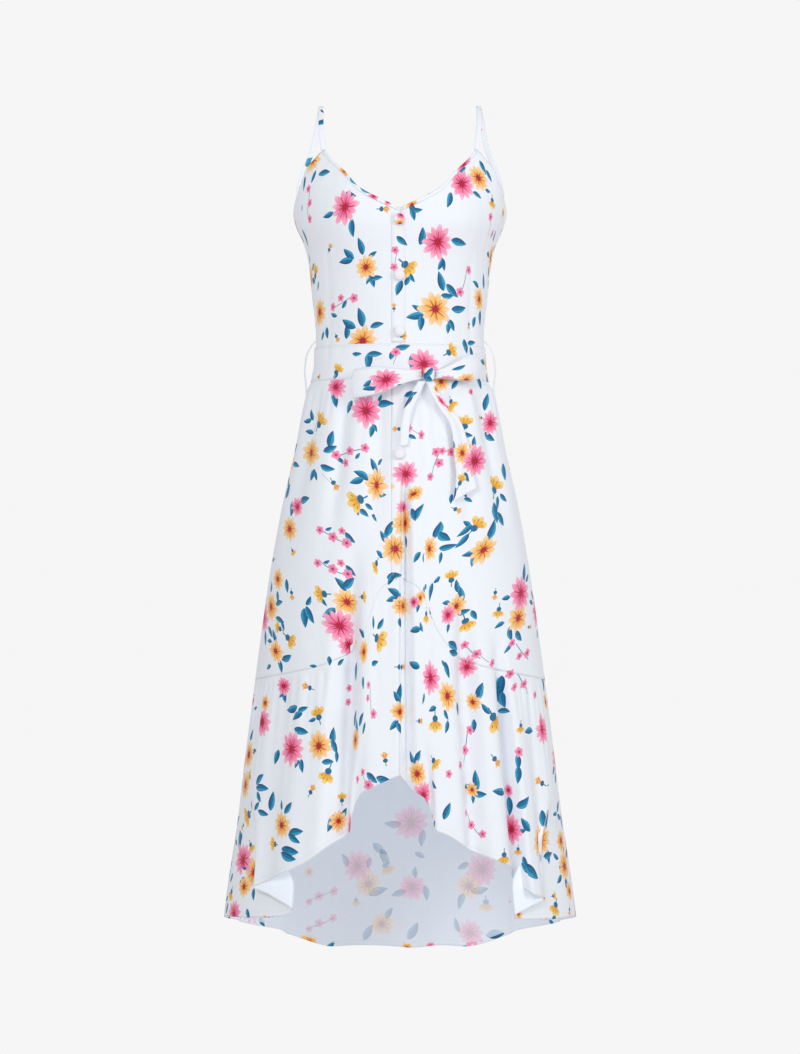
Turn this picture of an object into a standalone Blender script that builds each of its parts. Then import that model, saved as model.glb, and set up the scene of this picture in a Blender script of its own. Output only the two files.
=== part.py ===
import math

import bmesh
import bpy
import numpy as np
from mathutils import Vector

# Sundress, filled out with no wearer. Metres, +Z up, the front faces -Y.
# The origin is midway between the tops of the two straps, at their underside.

# Driving sizes
wall = 0.0016
seam_gap = 0.0003
gathered_gap = 0.0008
bust_height = -0.190
underarm_height = -0.183
waist_height = -0.385
v_depth = -0.167
apex_angle = 47.5
apex_height = -0.0746
back_hem_height = -1.299
strap_top_x = 0.118
strap_width = 0.008
strap_thickness = 0.0018
binding_width = 0.006
binding_wall = 0.0010
sash_top = -0.362
sash_bottom = -0.4135
sash_lift = 0.0024
placket_left = -0.0125
placket_right = 0.0080
placket_wall = 0.0012
placket_end = -0.690
button_diameter = 0.016
button_height = 0.0052
button_heights = (-0.184, -0.2635, -0.3445, -0.5245)
knot_x = 0.039
knot_height = -0.408
ribbon_wall = 0.0014
bow_clearance = 0.0080
gather_count = 36
waist_gather_count = 36

# Level rings of the cloth: height, half width, depth to the front, depth to the back
rings = [
    (-0.060, 0.1500, 0.0800, 0.070),
    (-0.100, 0.1580, 0.1010, 0.086),
    (-0.130, 0.1605, 0.1140, 0.095),
    (-0.160, 0.1600, 0.1190, 0.100),
    (-0.183, 0.1535, 0.1190, 0.101),
    (-0.205, 0.1430, 0.1150, 0.099),
    (-0.228, 0.1365, 0.1100, 0.097),
    (-0.285, 0.1310, 0.1010, 0.093),
    (-0.345, 0.1255, 0.0945, 0.089),
    (-0.385, 0.1255, 0.0930, 0.088),
    (-0.410, 0.1310, 0.0990, 0.096),
    (-0.427, 0.1405, 0.1080, 0.107),
    (-0.445, 0.1455, 0.1150, 0.115),
    (-0.519, 0.1600, 0.1310, 0.132),
    (-0.595, 0.1770, 0.1440, 0.147),
    (-0.672, 0.1900, 0.1550, 0.160),
    (-0.741, 0.2005, 0.1630, 0.169),
    (-0.894, 0.2210, 0.1770, 0.186),
    (-1.064, 0.2425, 0.1920, 0.203),
    (-1.213, 0.2640, 0.2060, 0.219),
    (-1.310, 0.2710, 0.2110, 0.227),
]

# Angles run from 0 at the centre front to 90 at the +X side seam and 180 at the centre back.
# Neck and armhole edge of the front: angle, height
front_edge = [
    (0.0, v_depth), (10.4, -0.1537), (21.2, -0.1363), (30.2, -0.1105), (40.0, -0.0890),
    (apex_angle, apex_height), (54.0, -0.0873), (61.6, -0.1017), (64.5, -0.1154),
    (71.6, -0.1375), (82.0, -0.1610), (90.0, underarm_height),
]
# Top edge of the back: angle, height
back_edge = [(90.0, underarm_height), (102.0, -0.1680), (125.0, -0.1740), (180.0, -0.1850)]
# Seam between skirt and flounce: angle from the centre front, height
flounce_seam = [
    (0.0, -0.703), (8.0, -0.718), (14.0, -0.770), (22.0, -0.812), (35.0, -0.832),
    (60.0, -0.848), (90.0, -0.862), (135.0, -0.905), (180.0, -0.928),
]
# Hem: angle, height
hem_left = [
    (0.0, -0.983), (6.0, -0.993), (11.5, -1.008), (15.5, -1.056), (25.0, -1.085), (33.0, -1.110),
    (52.0, -1.143), (66.0, -1.160), (74.0, -1.190), (90.0, -1.213), (115.0, -1.239),
    (140.0, -1.272), (156.0, -1.294), (180.0, back_hem_height),
]
hem_right = [
    (0.0, -0.983), (3.0, -1.000), (6.5, -1.015), (10.0, -1.058), (16.0, -1.068), (25.0, -1.092),
    (38.0, -1.116), (47.0, -1.158), (66.0, -1.176), (74.0, -1.196), (90.0, -1.213),
    (115.0, -1.239), (140.0, -1.272), (156.0, -1.294), (180.0, back_hem_height),
]

# Folds: angle, half width in degrees, depth, sideways lean in degrees of the fold's floor,
# height where it starts, height where it is full
folds = [
    (-21.0, 7.0, 0.015, 0.0, -0.620, -0.980),
    (-13.5, 3.0, 0.010, -3.2, -0.900, -1.020),
    (2.4, 2.4, 0.010, 0.0, -0.560, -0.640),
    (8.2, 2.8, 0.010, 3.0, -0.900, -1.020),
    (24.0, 7.0, 0.016, 0.0, -0.620, -0.950),
    (42.0, 5.0, 0.018, 4.0, -0.720, -1.050),
    (62.0, 7.0, 0.008, 0.0, -0.800, -1.100),
    (76.0, 4.5, 0.010, 3.0, -1.000, -1.160),
    (-52.0, 8.0, 0.008, 0.0, -0.700, -1.100),
    (-70.0, 5.0, 0.013, -4.0, -0.980, -1.150),
    (106.0, 7.0, 0.010, 0.0, -0.700, -1.100),
    (131.0, 8.0, 0.014, 3.0, -0.620, -1.050),
    (156.0, 7.0, 0.012, 0.0, -0.660, -1.080),
    (178.0, 8.0, 0.015, -3.0, -0.600, -1.050),
    (-154.0, 8.0, 0.013, 0.0, -0.640, -1.060),
    (-130.0, 7.0, 0.013, -3.0, -0.660, -1.080),
    (-105.0, 7.0, 0.010, 0.0, -0.720, -1.120),
]
# Soft folds that fall from the gathered waist: angle, half width, depth
waist_folds = [
    (-60.0, 9.0, 0.0045), (-33.0, 6.0, 0.0060), (-9.0, 6.0, 0.0045), (17.0, 5.0, 0.0055),
    (36.0, 6.0, 0.0035), (57.0, 7.0, 0.0060), (95.0, 9.0, 0.0050), (122.0, 8.0, 0.0055),
    (150.0, 8.0, 0.0050), (175.0, 8.0, 0.0055), (-148.0, 8.0, 0.0050), (-118.0, 8.0, 0.0055),
    (-90.0, 8.0, 0.0045),
]

white = (0.88, 0.90, 0.94, 1.0)
warm_white = (0.90, 0.88, 0.90, 1.0)


def smooth_curve(rows, column):
    """A function through one column of a table, with no overshoot between its rows."""
    rows = sorted(rows)
    places = np.array([row[0] for row in rows])
    values = np.array([row[column] for row in rows])
    steps = np.diff(values) / np.diff(places)
    slopes = np.zeros(len(values))
    for index in range(1, len(values) - 1):
        before = steps[index - 1]
        after = steps[index]
        if before * after > 0.0:
            slopes[index] = 2.0 * before * after / (before + after)
    slopes[0] = steps[0]
    slopes[-1] = steps[-1]

    def value_at(place):
        place = min(max(place, places[0]), places[-1])
        index = min(int(np.searchsorted(places, place, side="right")) - 1, len(places) - 2)
        span = places[index + 1] - places[index]
        u = (place - places[index]) / span
        ease = u * u * (3.0 - 2.0 * u)
        start = values[index] * (1.0 - ease) + values[index + 1] * ease
        bend = u * (1.0 - u) * span
        return start + bend * ((1.0 - u) * slopes[index] - u * slopes[index + 1])

    return value_at


half_width_at = smooth_curve(rings, 1)
front_depth_at = smooth_curve(rings, 2)
back_depth_at = smooth_curve(rings, 3)
front_edge_at = smooth_curve(front_edge, 1)
back_edge_at = smooth_curve(back_edge, 1)
flounce_seam_at = smooth_curve(flounce_seam, 1)
hem_left_at = smooth_curve(hem_left, 1)
hem_right_at = smooth_curve(hem_right, 1)


def ease_between(value, start, end):
    """0 before the start, 1 past the end, smooth between them."""
    u = min(max((value - start) / (end - start), 0.0), 1.0)
    return u * u * (3.0 - 2.0 * u)


def turn_between(angle, other):
    """The shorter turn from one angle to the other, in degrees."""
    return (angle - other + 180.0) % 360.0 - 180.0


def top_edge(angle):
    turn = abs(turn_between(angle, 0.0))
    return front_edge_at(turn) if turn <= 90.0 else back_edge_at(turn)


def seam_height(angle):
    return flounce_seam_at(abs(turn_between(angle, 0.0)))


def hem_height(angle):
    turn = turn_between(angle, 0.0)
    return hem_right_at(turn) if turn >= 0.0 else hem_left_at(-turn)


def fold_offset(angle, height):
    """How far the folds move the cloth outwards, and how far they turn it."""
    out = 0.0
    turn = 0.0
    for fold_angle, fold_width, depth, lean, start, full in folds:
        u = turn_between(angle, fold_angle) / fold_width
        if abs(u) > 3.0:
            continue
        strength = ease_between(height, start, full)
        bump = math.exp(-u * u)
        out -= depth * strength * bump * (1.0 - 0.7 * u * u)
        turn += lean * strength * bump
    fall = ease_between(height, -0.412, -0.450) * (1.0 - ease_between(height, -0.52, -0.70))
    for fold_angle, fold_width, depth in waist_folds:
        u = turn_between(angle, fold_angle) / fold_width
        if abs(u) < 3.0:
            out -= depth * fall * math.exp(-u * u)
    return out, turn


def gather_offset(angle, height):
    """Small waves below the waist seam and below the flounce seam."""
    wave = math.cos(math.radians(angle * waist_gather_count))
    waist_fall = ease_between(height, -0.414, -0.436) * (1.0 - ease_between(height, -0.45, -0.56))
    out = 0.0012 * wave * waist_fall
    below = seam_height(angle) - height
    if below > 0.0:
        fall = ease_between(below, 0.002, 0.020) * (1.0 - 0.8 * ease_between(below, 0.04, 0.26))
        out += 0.0024 * math.cos(math.radians(angle * gather_count)) * fall
    return out


def bodice_offset(angle, height):
    """Fullness of the bust and the crease of the waist dart on each side."""
    turn = abs(turn_between(angle, 0.0))
    across = half_width_at(height) * math.sin(math.radians(turn))
    if turn > 90.0 or height < waist_height:
        return 0.0
    cup = 0.009 * math.exp(-((across - 0.078) / 0.046) ** 2 - ((height - bust_height) / 0.055) ** 2)
    dart_reach = ease_between(height, -0.205, -0.240)
    dart = 0.0022 * dart_reach * math.exp(-((across - 0.104) / 0.0045) ** 2)
    return cup - dart


def cloth_point(angle, height, lift=0.0):
    """A point of the garment's surface, moved outwards by lift."""
    out, turn = fold_offset(angle, height)
    out += gather_offset(angle, height) + bodice_offset(angle, height) + lift
    radians = math.radians(angle + turn)
    depth = front_depth_at(height) if math.cos(radians) > 0.0 else back_depth_at(height)
    width = half_width_at(height)
    outward = Vector((math.sin(radians) / width, -math.cos(radians) / depth, 0.0)).normalized()
    return Vector((width * math.sin(radians), -depth * math.cos(radians), height)) + outward * out


def angle_at(across, height):
    """The front angle whose point lies at a given distance from the centre."""
    return math.degrees(math.asin(across / half_width_at(height)))


dress = bpy.data.collections.new("sundress")


def clear_scene():
    for old in list(bpy.data.objects):
        bpy.data.objects.remove(old, do_unlink=True)
    bpy.context.scene.collection.children.link(dress)


def cloth_material(name, colour):
    material = bpy.data.materials.new(name)
    material.use_nodes = True
    shader = material.node_tree.nodes["Principled BSDF"]
    shader.inputs["Base Color"].default_value = colour
    shader.inputs["Roughness"].default_value = 0.7
    shader.inputs["Metallic"].default_value = 0.0
    return material


def add_object(name, mesh, colour):
    mesh.materials.append(cloth_material(name + "_cloth", colour))
    mesh.shade_smooth()
    piece = bpy.data.objects.new(name, mesh)
    dress.objects.link(piece)
    return piece


def shell_from_grid(name, grid, thickness, colour=white):
    """An open surface through rows of points, given its thickness by Solidify."""
    mesh = bpy.data.meshes.new(name)
    build = bmesh.new()
    rows = [[build.verts.new(point) for point in row] for row in grid]
    for above, below in zip(rows, rows[1:]):
        for index in range(len(above) - 1):
            build.faces.new((above[index], below[index], below[index + 1], above[index + 1]))
    build.to_mesh(mesh)
    build.free()
    piece = add_object(name, mesh, colour)
    solidify = piece.modifiers.new("wall", "SOLIDIFY")
    solidify.thickness = thickness
    solidify.offset = 0.0
    return piece


def panel(name, angles, top, bottom, fractions, first_band=0.0, colour=white):
    """A panel of the garment between two edges, each a function of the angle.

    The first band under the top edge has an even width, and the fractions share out the rest.
    """
    grid = []
    if first_band:
        grid.append([cloth_point(angle, top(angle)) for angle in angles])
    for fraction in fractions:
        row = []
        for angle in angles:
            start = top(angle) - first_band
            row.append(cloth_point(angle, start + (bottom(angle) - start) * fraction))
        grid.append(row)
    return shell_from_grid(name, grid, wall, colour)


def inset_ends(angles, width, gap):
    """The angles of a panel, its two ends drawn in by half of the seam gap."""
    inset = math.degrees(0.5 * gap / width)
    return [angles[0] + inset] + angles[1:-1] + [angles[-1] - inset]


def mirrored(angles):
    return [-angle for angle in reversed(angles)]


half_gap = 0.5 * seam_gap
waist_band = 0.0250
waist_gap = 0.0005
front_bodice_angles = [0, 6, 12, 18, 24, 30, 36, 42, apex_angle, 50, 52.5, 55, 58, 62, 66, 72, 78, 84, 90]
back_bodice_angles = list(range(90, 271, 10))
front_skirt_angles = (
    [0.0, 1.2, 2.4, 3.6, 5.0, 6.4, 7.8, 9.2, 10.6, 12.5, 15.0]
    + [17.5 + 2.5 * step for step in range(30)]
)
left_skirt_angles = (
    [0.0, 1.2, 2.5, 5.0, 7.5, 9.5, 11.2, 12.7, 14.2, 15.7, 17.5]
    + [20.0 + 2.5 * step for step in range(29)]
)
back_skirt_angles = [90.0 + 2.5 * step for step in range(73)]
skirt_rows = [0.0, 0.05, 0.11, 0.22, 0.42, 0.70, 1.0]
flounce_rows = [0.0, 0.045, 0.11, 0.24, 0.42, 0.62, 0.82, 1.0]


def build_bodice():
    rows = [0.0, 0.10, 0.20, 0.30, 0.40, 0.50, 0.62, 0.74, 0.87, 1.0]

    def waist(angle):
        return waist_height + waist_gap

    right = inset_ends(front_bodice_angles, 0.125, seam_gap)
    panel("bodice_front_right", right, top_edge, waist, rows, binding_width)
    panel("bodice_front_left", mirrored(right), top_edge, waist, rows, binding_width)
    back_rows = [0.0, 0.12, 0.28, 0.50, 0.75, 1.0]
    panel("bodice_back", inset_ends(back_bodice_angles, 0.125, seam_gap), top_edge, waist, back_rows)


def seam_allowance(angle):
    """Half of the gap at the flounce seam, measured upright where the seam runs steeply."""
    rise = seam_height(angle + 0.5) - seam_height(angle - 0.5)
    slope = rise / (math.radians(1.0) * 0.17)
    return 0.5 * gathered_gap * math.hypot(1.0, slope)


def build_skirt():
    def waist(angle):
        return waist_height - waist_gap

    def seam_above(angle):
        return seam_height(angle) + seam_allowance(angle)

    def seam_below(angle):
        return seam_height(angle) - seam_allowance(angle)

    right = inset_ends(front_skirt_angles, 0.16, gathered_gap)
    left = mirrored(inset_ends(left_skirt_angles, 0.16, gathered_gap))
    back = inset_ends(back_skirt_angles, 0.16, gathered_gap)
    panel("skirt_front_right", right, waist, seam_above, skirt_rows, waist_band)
    panel("skirt_front_left", left, waist, seam_above, skirt_rows, waist_band)
    panel("skirt_back", back, waist, seam_above, skirt_rows, waist_band)
    panel("flounce_front_right", right, seam_below, hem_height, flounce_rows)
    panel("flounce_front_left", left, seam_below, hem_height, flounce_rows)
    panel("flounce_back", back, seam_below, hem_height, flounce_rows)


def build_binding():
    """A narrow folded strip outside each neck edge of the front, made from its points."""
    angles = [2.0] + front_bodice_angles[1:9]
    lift = 0.5 * wall + seam_gap + 0.5 * binding_wall + 0.0002
    for side, name in ((1.0, "neck_binding_right"), (-1.0, "neck_binding_left")):
        grid = []
        for below in (0.0, binding_width - 0.0002):
            row = [cloth_point(side * angle, top_edge(angle) - below, lift) for angle in angles]
            grid.append(row if side > 0.0 else list(reversed(row)))
        shell_from_grid(name, grid, binding_wall)


def build_placket():
    """The overlapping strip that the buttons close, from the V down to the flounce."""
    heights = [v_depth - 0.010, -0.20, -0.24, -0.28, -0.33, sash_top + 0.001]
    lower = [sash_bottom - 0.002, -0.437, -0.47, -0.51, -0.56, -0.60, -0.64, placket_end]
    for name, run, clear in (("placket_bodice", heights, 0.0010), ("placket_skirt", lower, 0.0011)):
        grid = []
        for height in run:
            slant = 0.006 * ease_between(height, -0.50, -0.60)
            row = []
            for step in range(5):
                across = placket_left + (placket_right - slant - placket_left) * step / 4.0
                lift = 0.5 * (wall + placket_wall) + seam_gap + clear
                row.append(cloth_point(angle_at(across, height), height, lift))
            grid.append(row)
        shell_from_grid(name, grid, placket_wall, warm_white)


def swept_ribbon(name, path, across, width, thickness, colour=white):
    """A flat strip along a path, with its width in a given direction at each point."""
    grid = []
    for point, side in zip(path, across):
        middle = Vector(point)
        direction = Vector(side).normalized()
        grid.append([middle - direction * width / 2.0, middle + direction * width / 2.0])
    return shell_from_grid(name, grid, thickness, colour)


def curve_points(points, count):
    """Points at even steps along a smooth path through a short list of points."""
    rows = [(index,) + tuple(point) for index, point in enumerate(points)]
    along = [smooth_curve(rows, column) for column in (1, 2, 3)]
    last = len(points) - 1
    return [Vector([axis(last * step / (count - 1)) for axis in along]) for step in range(count)]


def build_straps():
    """Each strap rises from the point of the front, over the shoulder, to the back."""
    front_end = cloth_point(apex_angle, apex_height + seam_gap + 0.0001)
    back_end = cloth_point(102.0, back_edge_at(102.0) + seam_gap + 0.0001)
    middle = strap_thickness / 2.0
    route = [
        front_end,
        (0.1160, -0.0480, -0.0480),
        (0.1178, -0.0270, -0.0180),
        (strap_top_x, 0.0, middle),
        (0.1230, 0.0210, -0.0180),
        (0.1310, 0.0300, -0.0560),
        (0.1440, 0.0325, -0.0900),
        (0.1535, 0.0300, -0.1270),
        back_end,
    ]
    for side, name in ((1.0, "strap_right"), (-1.0, "strap_left")):
        path = []
        across = []
        points = curve_points(route, 25)
        for index, point in enumerate(points):
            before = points[max(index - 1, 0)]
            after = points[min(index + 1, len(points) - 1)]
            tangent = (after - before).normalized()
            outward = Vector((point.x, point.y, 0.045)).normalized()
            sideways = tangent.cross(outward).normalized()
            path.append((side * point.x, point.y, point.z))
            across.append((side * sideways.x, sideways.y, sideways.z))
        swept_ribbon(name, path, across, strap_width, strap_thickness)


def build_sash():
    """The wide tie belt: one band round the waist."""
    grid = []
    for height, clear in ((sash_top, 0.0), (waist_height, 0.0010), (sash_bottom, 0.0010)):
        row = []
        for step in range(61):
            angle = -179.9 + 359.8 * step / 60.0
            row.append(cloth_point(angle, height, sash_lift + clear))
        grid.append(row)
    shell_from_grid("sash", grid, wall, warm_white)


def belt_loop_route():
    """Across and height of a belt loop, from above the sash to below it."""
    return [(0.1268, -0.3500), (0.1345, -0.3640), (0.1405, -0.3860), (0.1425, -0.4080), (0.1446, -0.4330)]


def build_belt_loops():
    loop_width = 0.004
    for side, name in ((1.0, "belt_loop_right"), (-1.0, "belt_loop_left")):
        first = half_width_at(-0.350) + 0.5 * wall + seam_gap + 0.0006
        last = half_width_at(-0.433) + 0.5 * wall + seam_gap + 0.0022
        route = [(first, 0.0, -0.350)]
        route += [(across, 0.0, height) for across, height in belt_loop_route()[1:-1]]
        route.append((last, 0.0, -0.433))
        points = curve_points(route, 11)
        path = [(side * point.x, point.y, point.z) for point in points]
        swept_ribbon(name, path, [(0.0, side, 0.0)] * len(path), loop_width, 0.0012)


def bow_point(across, height, lift):
    """A point in front of the waist, placed by its distance out from the cloth."""
    return cloth_base(angle_at(across, height), height, lift)


def cloth_base(angle, height, lift):
    """The garment's form with no folds, for what hangs in front of it."""
    radians = math.radians(angle)
    depth = front_depth_at(height)
    width = half_width_at(height)
    outward = Vector((math.sin(radians) / width, -math.cos(radians) / depth, 0.0)).normalized()
    return Vector((width * math.sin(radians), -depth * math.cos(radians), height)) + outward * lift


# Bow loops: name, tip across, tip height, width at the knot, width at the tip, bulge
bow_loops = [
    ("bow_loop_right", 0.1070, -0.3935, 0.012, 0.038, 0.011),
    ("bow_loop_left", -0.0640, -0.4220, 0.014, 0.043, 0.012),
]


def build_bow_loops():
    for name, tip_x, tip_height, root_width, tip_width, bulge in bow_loops:
        direction = 1.0 if tip_x > knot_x else -1.0
        root_x = knot_x + direction * 0.0105
        grid = []
        count = 15
        for step in range(count):
            u = step / (count - 1)
            reach = math.sin(math.pi * u) ** 0.75 if 0.0 < u < 1.0 else 0.0
            spread = ease_between(reach, 0.0, 0.8)
            width = root_width + (tip_width - root_width) * spread
            half_bulge = 0.002 + 0.5 * bulge * math.sin(0.8 * math.pi * reach)
            lift = bow_clearance + half_bulge * (1.0 + math.cos(math.pi * u))
            row = []
            for side in range(5):
                v = -1.0 + side / 2.0
                across = root_x + (tip_x - root_x) * reach
                height = knot_height + (tip_height - knot_height) * reach - v * width / 2.0
                ripple = 0.0012 * math.cos(math.pi * v) * (1.0 - reach)
                row.append(bow_point(across, height, lift + ripple))
            grid.append(row)
        shell_from_grid(name, grid, ribbon_wall)


# Tails: rows of left edge across, right edge across, height, each from the knot down
tail_long = [
    (0.0365, 0.0470, -0.4189),
    (0.0425, 0.0560, -0.4380),
    (0.0560, 0.0715, -0.4600),
    (0.0680, 0.0850, -0.4800),
    (0.0735, 0.0935, -0.5050),
    (0.0755, 0.0980, -0.5300),
    (0.0770, 0.1020, -0.5520),
    (0.0740, 0.1080, -0.5830),
]
tail_short = [
    (0.0250, 0.0350, -0.4177),
    (0.0150, 0.0265, -0.4380),
    (0.0050, 0.0180, -0.4600),
    (0.0010, 0.0130, -0.4850),
    (0.0000, 0.0115, -0.5130),
]


def build_tails():
    for name, edges, slant in (("tail_long", tail_long, 0.020), ("tail_short", tail_short, 0.002)):
        grid = []
        last = len(edges) - 1
        for index, (left, right, height) in enumerate(edges):
            row = []
            for side in range(5):
                u = side / 4.0
                across = left + (right - left) * u
                low = height + slant * (u - 0.5) * (index / last) ** 3
                ripple = 0.0022 * math.sin(math.pi * 2.0 * u) * (1.0 - 0.5 * index / last)
                lift = 0.0088 + 0.0016 * (1.0 - ease_between(index, 0.0, 2.0))
                row.append(bow_point(across, low, lift + ripple * ease_between(index, 0.0, 1.0)))
            grid.append(row)
        shell_from_grid(name, grid, ribbon_wall)


def build_knot():
    """The wrapped knot of the bow, a rounded band with hollow sides."""
    mesh = bpy.data.meshes.new("knot")
    build = bmesh.new()
    bmesh.ops.create_uvsphere(build, u_segments=16, v_segments=10, radius=1.0)
    centre = bow_point(knot_x, knot_height, 0.0140)
    half = Vector((0.0095, 0.0085, 0.0105))
    for vert in build.verts:
        pinch = 1.0 - 0.12 * math.cos(vert.co.z * math.pi)
        vert.co = centre + Vector((vert.co.x * half.x * pinch, vert.co.y * half.y, vert.co.z * half.z))
    build.to_mesh(mesh)
    build.free()
    add_object("knot", mesh, warm_white)


def button_profile():
    """Half section of a covered button: across and out from the placket."""
    radius = button_diameter / 2.0
    points = [(0.0, button_height)]
    for step in range(1, 5):
        turn = 0.5 * math.pi * step / 4.0
        points.append((radius * math.sin(turn), 0.0016 + (button_height - 0.0016) * math.cos(turn)))
    points.append((radius * 0.86, 0.0))
    points.append((0.0, 0.0))
    return points


def button_frame(height):
    """Seat of a button on the placket, with its sideways, upward and outward directions."""
    angle = angle_at(-0.001, height)
    side = (cloth_point(angle + 3.0, height) - cloth_point(angle - 3.0, height)).normalized()
    up = (cloth_point(angle, height + 0.008) - cloth_point(angle, height - 0.008)).normalized()
    clear = 0.0010 if height > waist_height else 0.0011
    lift = 0.5 * wall + placket_wall + 2.0 * seam_gap + clear + 0.0003
    return cloth_point(angle, height, lift), side, up, side.cross(up).normalized()


def build_buttons():
    segments = 16
    for index, height in enumerate(button_heights):
        name = f"button_{index + 1}"
        mesh = bpy.data.meshes.new(name)
        build = bmesh.new()
        seat, side, up, outward = button_frame(height)
        profile = button_profile()
        rounds = []
        for radius, out in profile[1:-1]:
            ring = []
            for step in range(segments):
                turn = 2.0 * math.pi * step / segments
                across = side * math.cos(turn) + up * math.sin(turn)
                ring.append(build.verts.new(seat + across * radius + outward * out))
            rounds.append(ring)
        crown = build.verts.new(seat + outward * profile[0][1])
        foot = build.verts.new(seat)
        for step in range(segments):
            after = (step + 1) % segments
            build.faces.new((crown, rounds[0][step], rounds[0][after]))
            build.faces.new((foot, rounds[-1][after], rounds[-1][step]))
            for outer, inner in zip(rounds, rounds[1:]):
                build.faces.new((outer[step], inner[step], inner[after], outer[after]))
        bmesh.ops.recalc_face_normals(build, faces=build.faces)
        build.to_mesh(mesh)
        build.free()
        add_object(name, mesh, warm_white)


clear_scene()
build_bodice()
build_skirt()
build_binding()
build_placket()
build_straps()
build_sash()
build_belt_loops()
build_bow_loops()
build_tails()
build_knot()
build_buttons()
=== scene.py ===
import math

import bpy
import numpy as np
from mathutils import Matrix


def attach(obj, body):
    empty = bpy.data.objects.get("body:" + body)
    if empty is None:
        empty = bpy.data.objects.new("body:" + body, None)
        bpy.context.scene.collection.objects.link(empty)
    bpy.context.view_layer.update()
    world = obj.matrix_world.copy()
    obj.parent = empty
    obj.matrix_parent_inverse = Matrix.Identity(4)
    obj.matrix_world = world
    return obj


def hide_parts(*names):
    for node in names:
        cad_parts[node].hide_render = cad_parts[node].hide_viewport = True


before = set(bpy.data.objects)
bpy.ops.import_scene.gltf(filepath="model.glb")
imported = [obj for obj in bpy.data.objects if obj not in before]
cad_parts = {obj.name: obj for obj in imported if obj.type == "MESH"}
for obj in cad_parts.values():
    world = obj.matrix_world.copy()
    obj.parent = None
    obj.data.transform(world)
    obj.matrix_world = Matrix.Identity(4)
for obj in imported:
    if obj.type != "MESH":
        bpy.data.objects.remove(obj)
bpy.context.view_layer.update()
print("frame loaded:", len(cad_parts), "nodes")

# Sundress with a printed flower cloth. Metres, the front faces -Y, angles in degrees from the centre front.

form = {
    "clothThickness": 0.0011,
    "grain": 0.0039,  # size of one face of the cloth
    "waistHeight": -0.385,
    "bustHeight": -0.190,
    "vDepth": -0.167,
    "apexAngle": 47.5,
}

# height, half width, depth to the front, depth to the back
rings = np.array([
    (-0.060, 0.1500, 0.0800, 0.070),
    (-0.100, 0.1580, 0.1010, 0.086),
    (-0.130, 0.1605, 0.1140, 0.095),
    (-0.160, 0.1600, 0.1190, 0.100),
    (-0.183, 0.1535, 0.1190, 0.101),
    (-0.205, 0.1430, 0.1150, 0.099),
    (-0.228, 0.1365, 0.1100, 0.097),
    (-0.285, 0.1310, 0.1010, 0.093),
    (-0.345, 0.1255, 0.0945, 0.089),
    (-0.385, 0.1255, 0.0930, 0.088),
    (-0.410, 0.1310, 0.0990, 0.096),
    (-0.427, 0.1405, 0.1080, 0.107),
    (-0.445, 0.1455, 0.1150, 0.115),
    (-0.519, 0.1600, 0.1310, 0.132),
    (-0.595, 0.1770, 0.1440, 0.147),
    (-0.672, 0.1900, 0.1550, 0.160),
    (-0.741, 0.2005, 0.1630, 0.169),
    (-0.894, 0.2210, 0.1770, 0.186),
    (-1.064, 0.2425, 0.1920, 0.203),
    (-1.213, 0.2640, 0.2060, 0.219),
    (-1.310, 0.2710, 0.2110, 0.227),
])
# angle, height
frontEdge = np.array([
    (0.0, -0.167), (10.4, -0.1537), (21.2, -0.1363), (30.2, -0.1105), (40.0, -0.0890),
    (47.5, -0.0746), (54.0, -0.0873), (61.6, -0.1017), (64.5, -0.1154),
    (71.6, -0.1375), (82.0, -0.1610), (90.0, -0.183),
])
backEdge = np.array([(90.0, -0.183), (102.0, -0.1680), (125.0, -0.1740), (180.0, -0.1850)])
flounceSeam = np.array([
    (0.0, -0.703), (8.0, -0.718), (14.0, -0.770), (22.0, -0.812), (35.0, -0.832),
    (60.0, -0.848), (90.0, -0.862), (135.0, -0.905), (180.0, -0.928),
])
hemLeft = np.array([
    (0.0, -0.983), (6.0, -0.993), (11.5, -1.008), (15.5, -1.056), (25.0, -1.085), (33.0, -1.110),
    (52.0, -1.143), (66.0, -1.160), (74.0, -1.190), (90.0, -1.213), (115.0, -1.239),
    (140.0, -1.272), (156.0, -1.294), (180.0, -1.299),
])
hemRight = np.array([
    (0.0, -0.983), (3.0, -1.000), (6.5, -1.015), (10.0, -1.058), (16.0, -1.068), (25.0, -1.092),
    (38.0, -1.116), (47.0, -1.158), (66.0, -1.176), (74.0, -1.196), (90.0, -1.213),
    (115.0, -1.239), (140.0, -1.272), (156.0, -1.294), (180.0, -1.299),
])
# angle, half width, depth, lean of the fold's floor, height where it starts, height where it is full
folds = [
    (-21.0, 5.4, 0.026, 0.0, -0.620, -0.880),
    (-13.5, 3.0, 0.010, -3.2, -0.900, -1.020),
    (2.6, 2.2, 0.018, 0.0, -0.535, -0.610),
    (8.2, 2.8, 0.010, 3.0, -0.900, -1.020),
    (27.0, 4.8, 0.026, 0.0, -0.680, -0.880),
    (42.5, 3.9, 0.031, 3.4, -0.760, -0.940),
    (60.0, 6.0, 0.008, 0.0, -0.800, -1.000),
    (-52.0, 8.0, 0.008, 0.0, -0.700, -1.100),
    (106.0, 7.0, 0.010, 0.0, -0.700, -1.100),
    (131.0, 8.0, 0.014, 3.0, -0.620, -1.050),
    (156.0, 7.0, 0.012, 0.0, -0.660, -1.080),
    (178.0, 8.0, 0.015, -3.0, -0.600, -1.050),
    (-154.0, 8.0, 0.013, 0.0, -0.640, -1.060),
    (-130.0, 7.0, 0.013, -3.0, -0.660, -1.080),
    (-105.0, 7.0, 0.010, 0.0, -0.720, -1.120),
]
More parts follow.
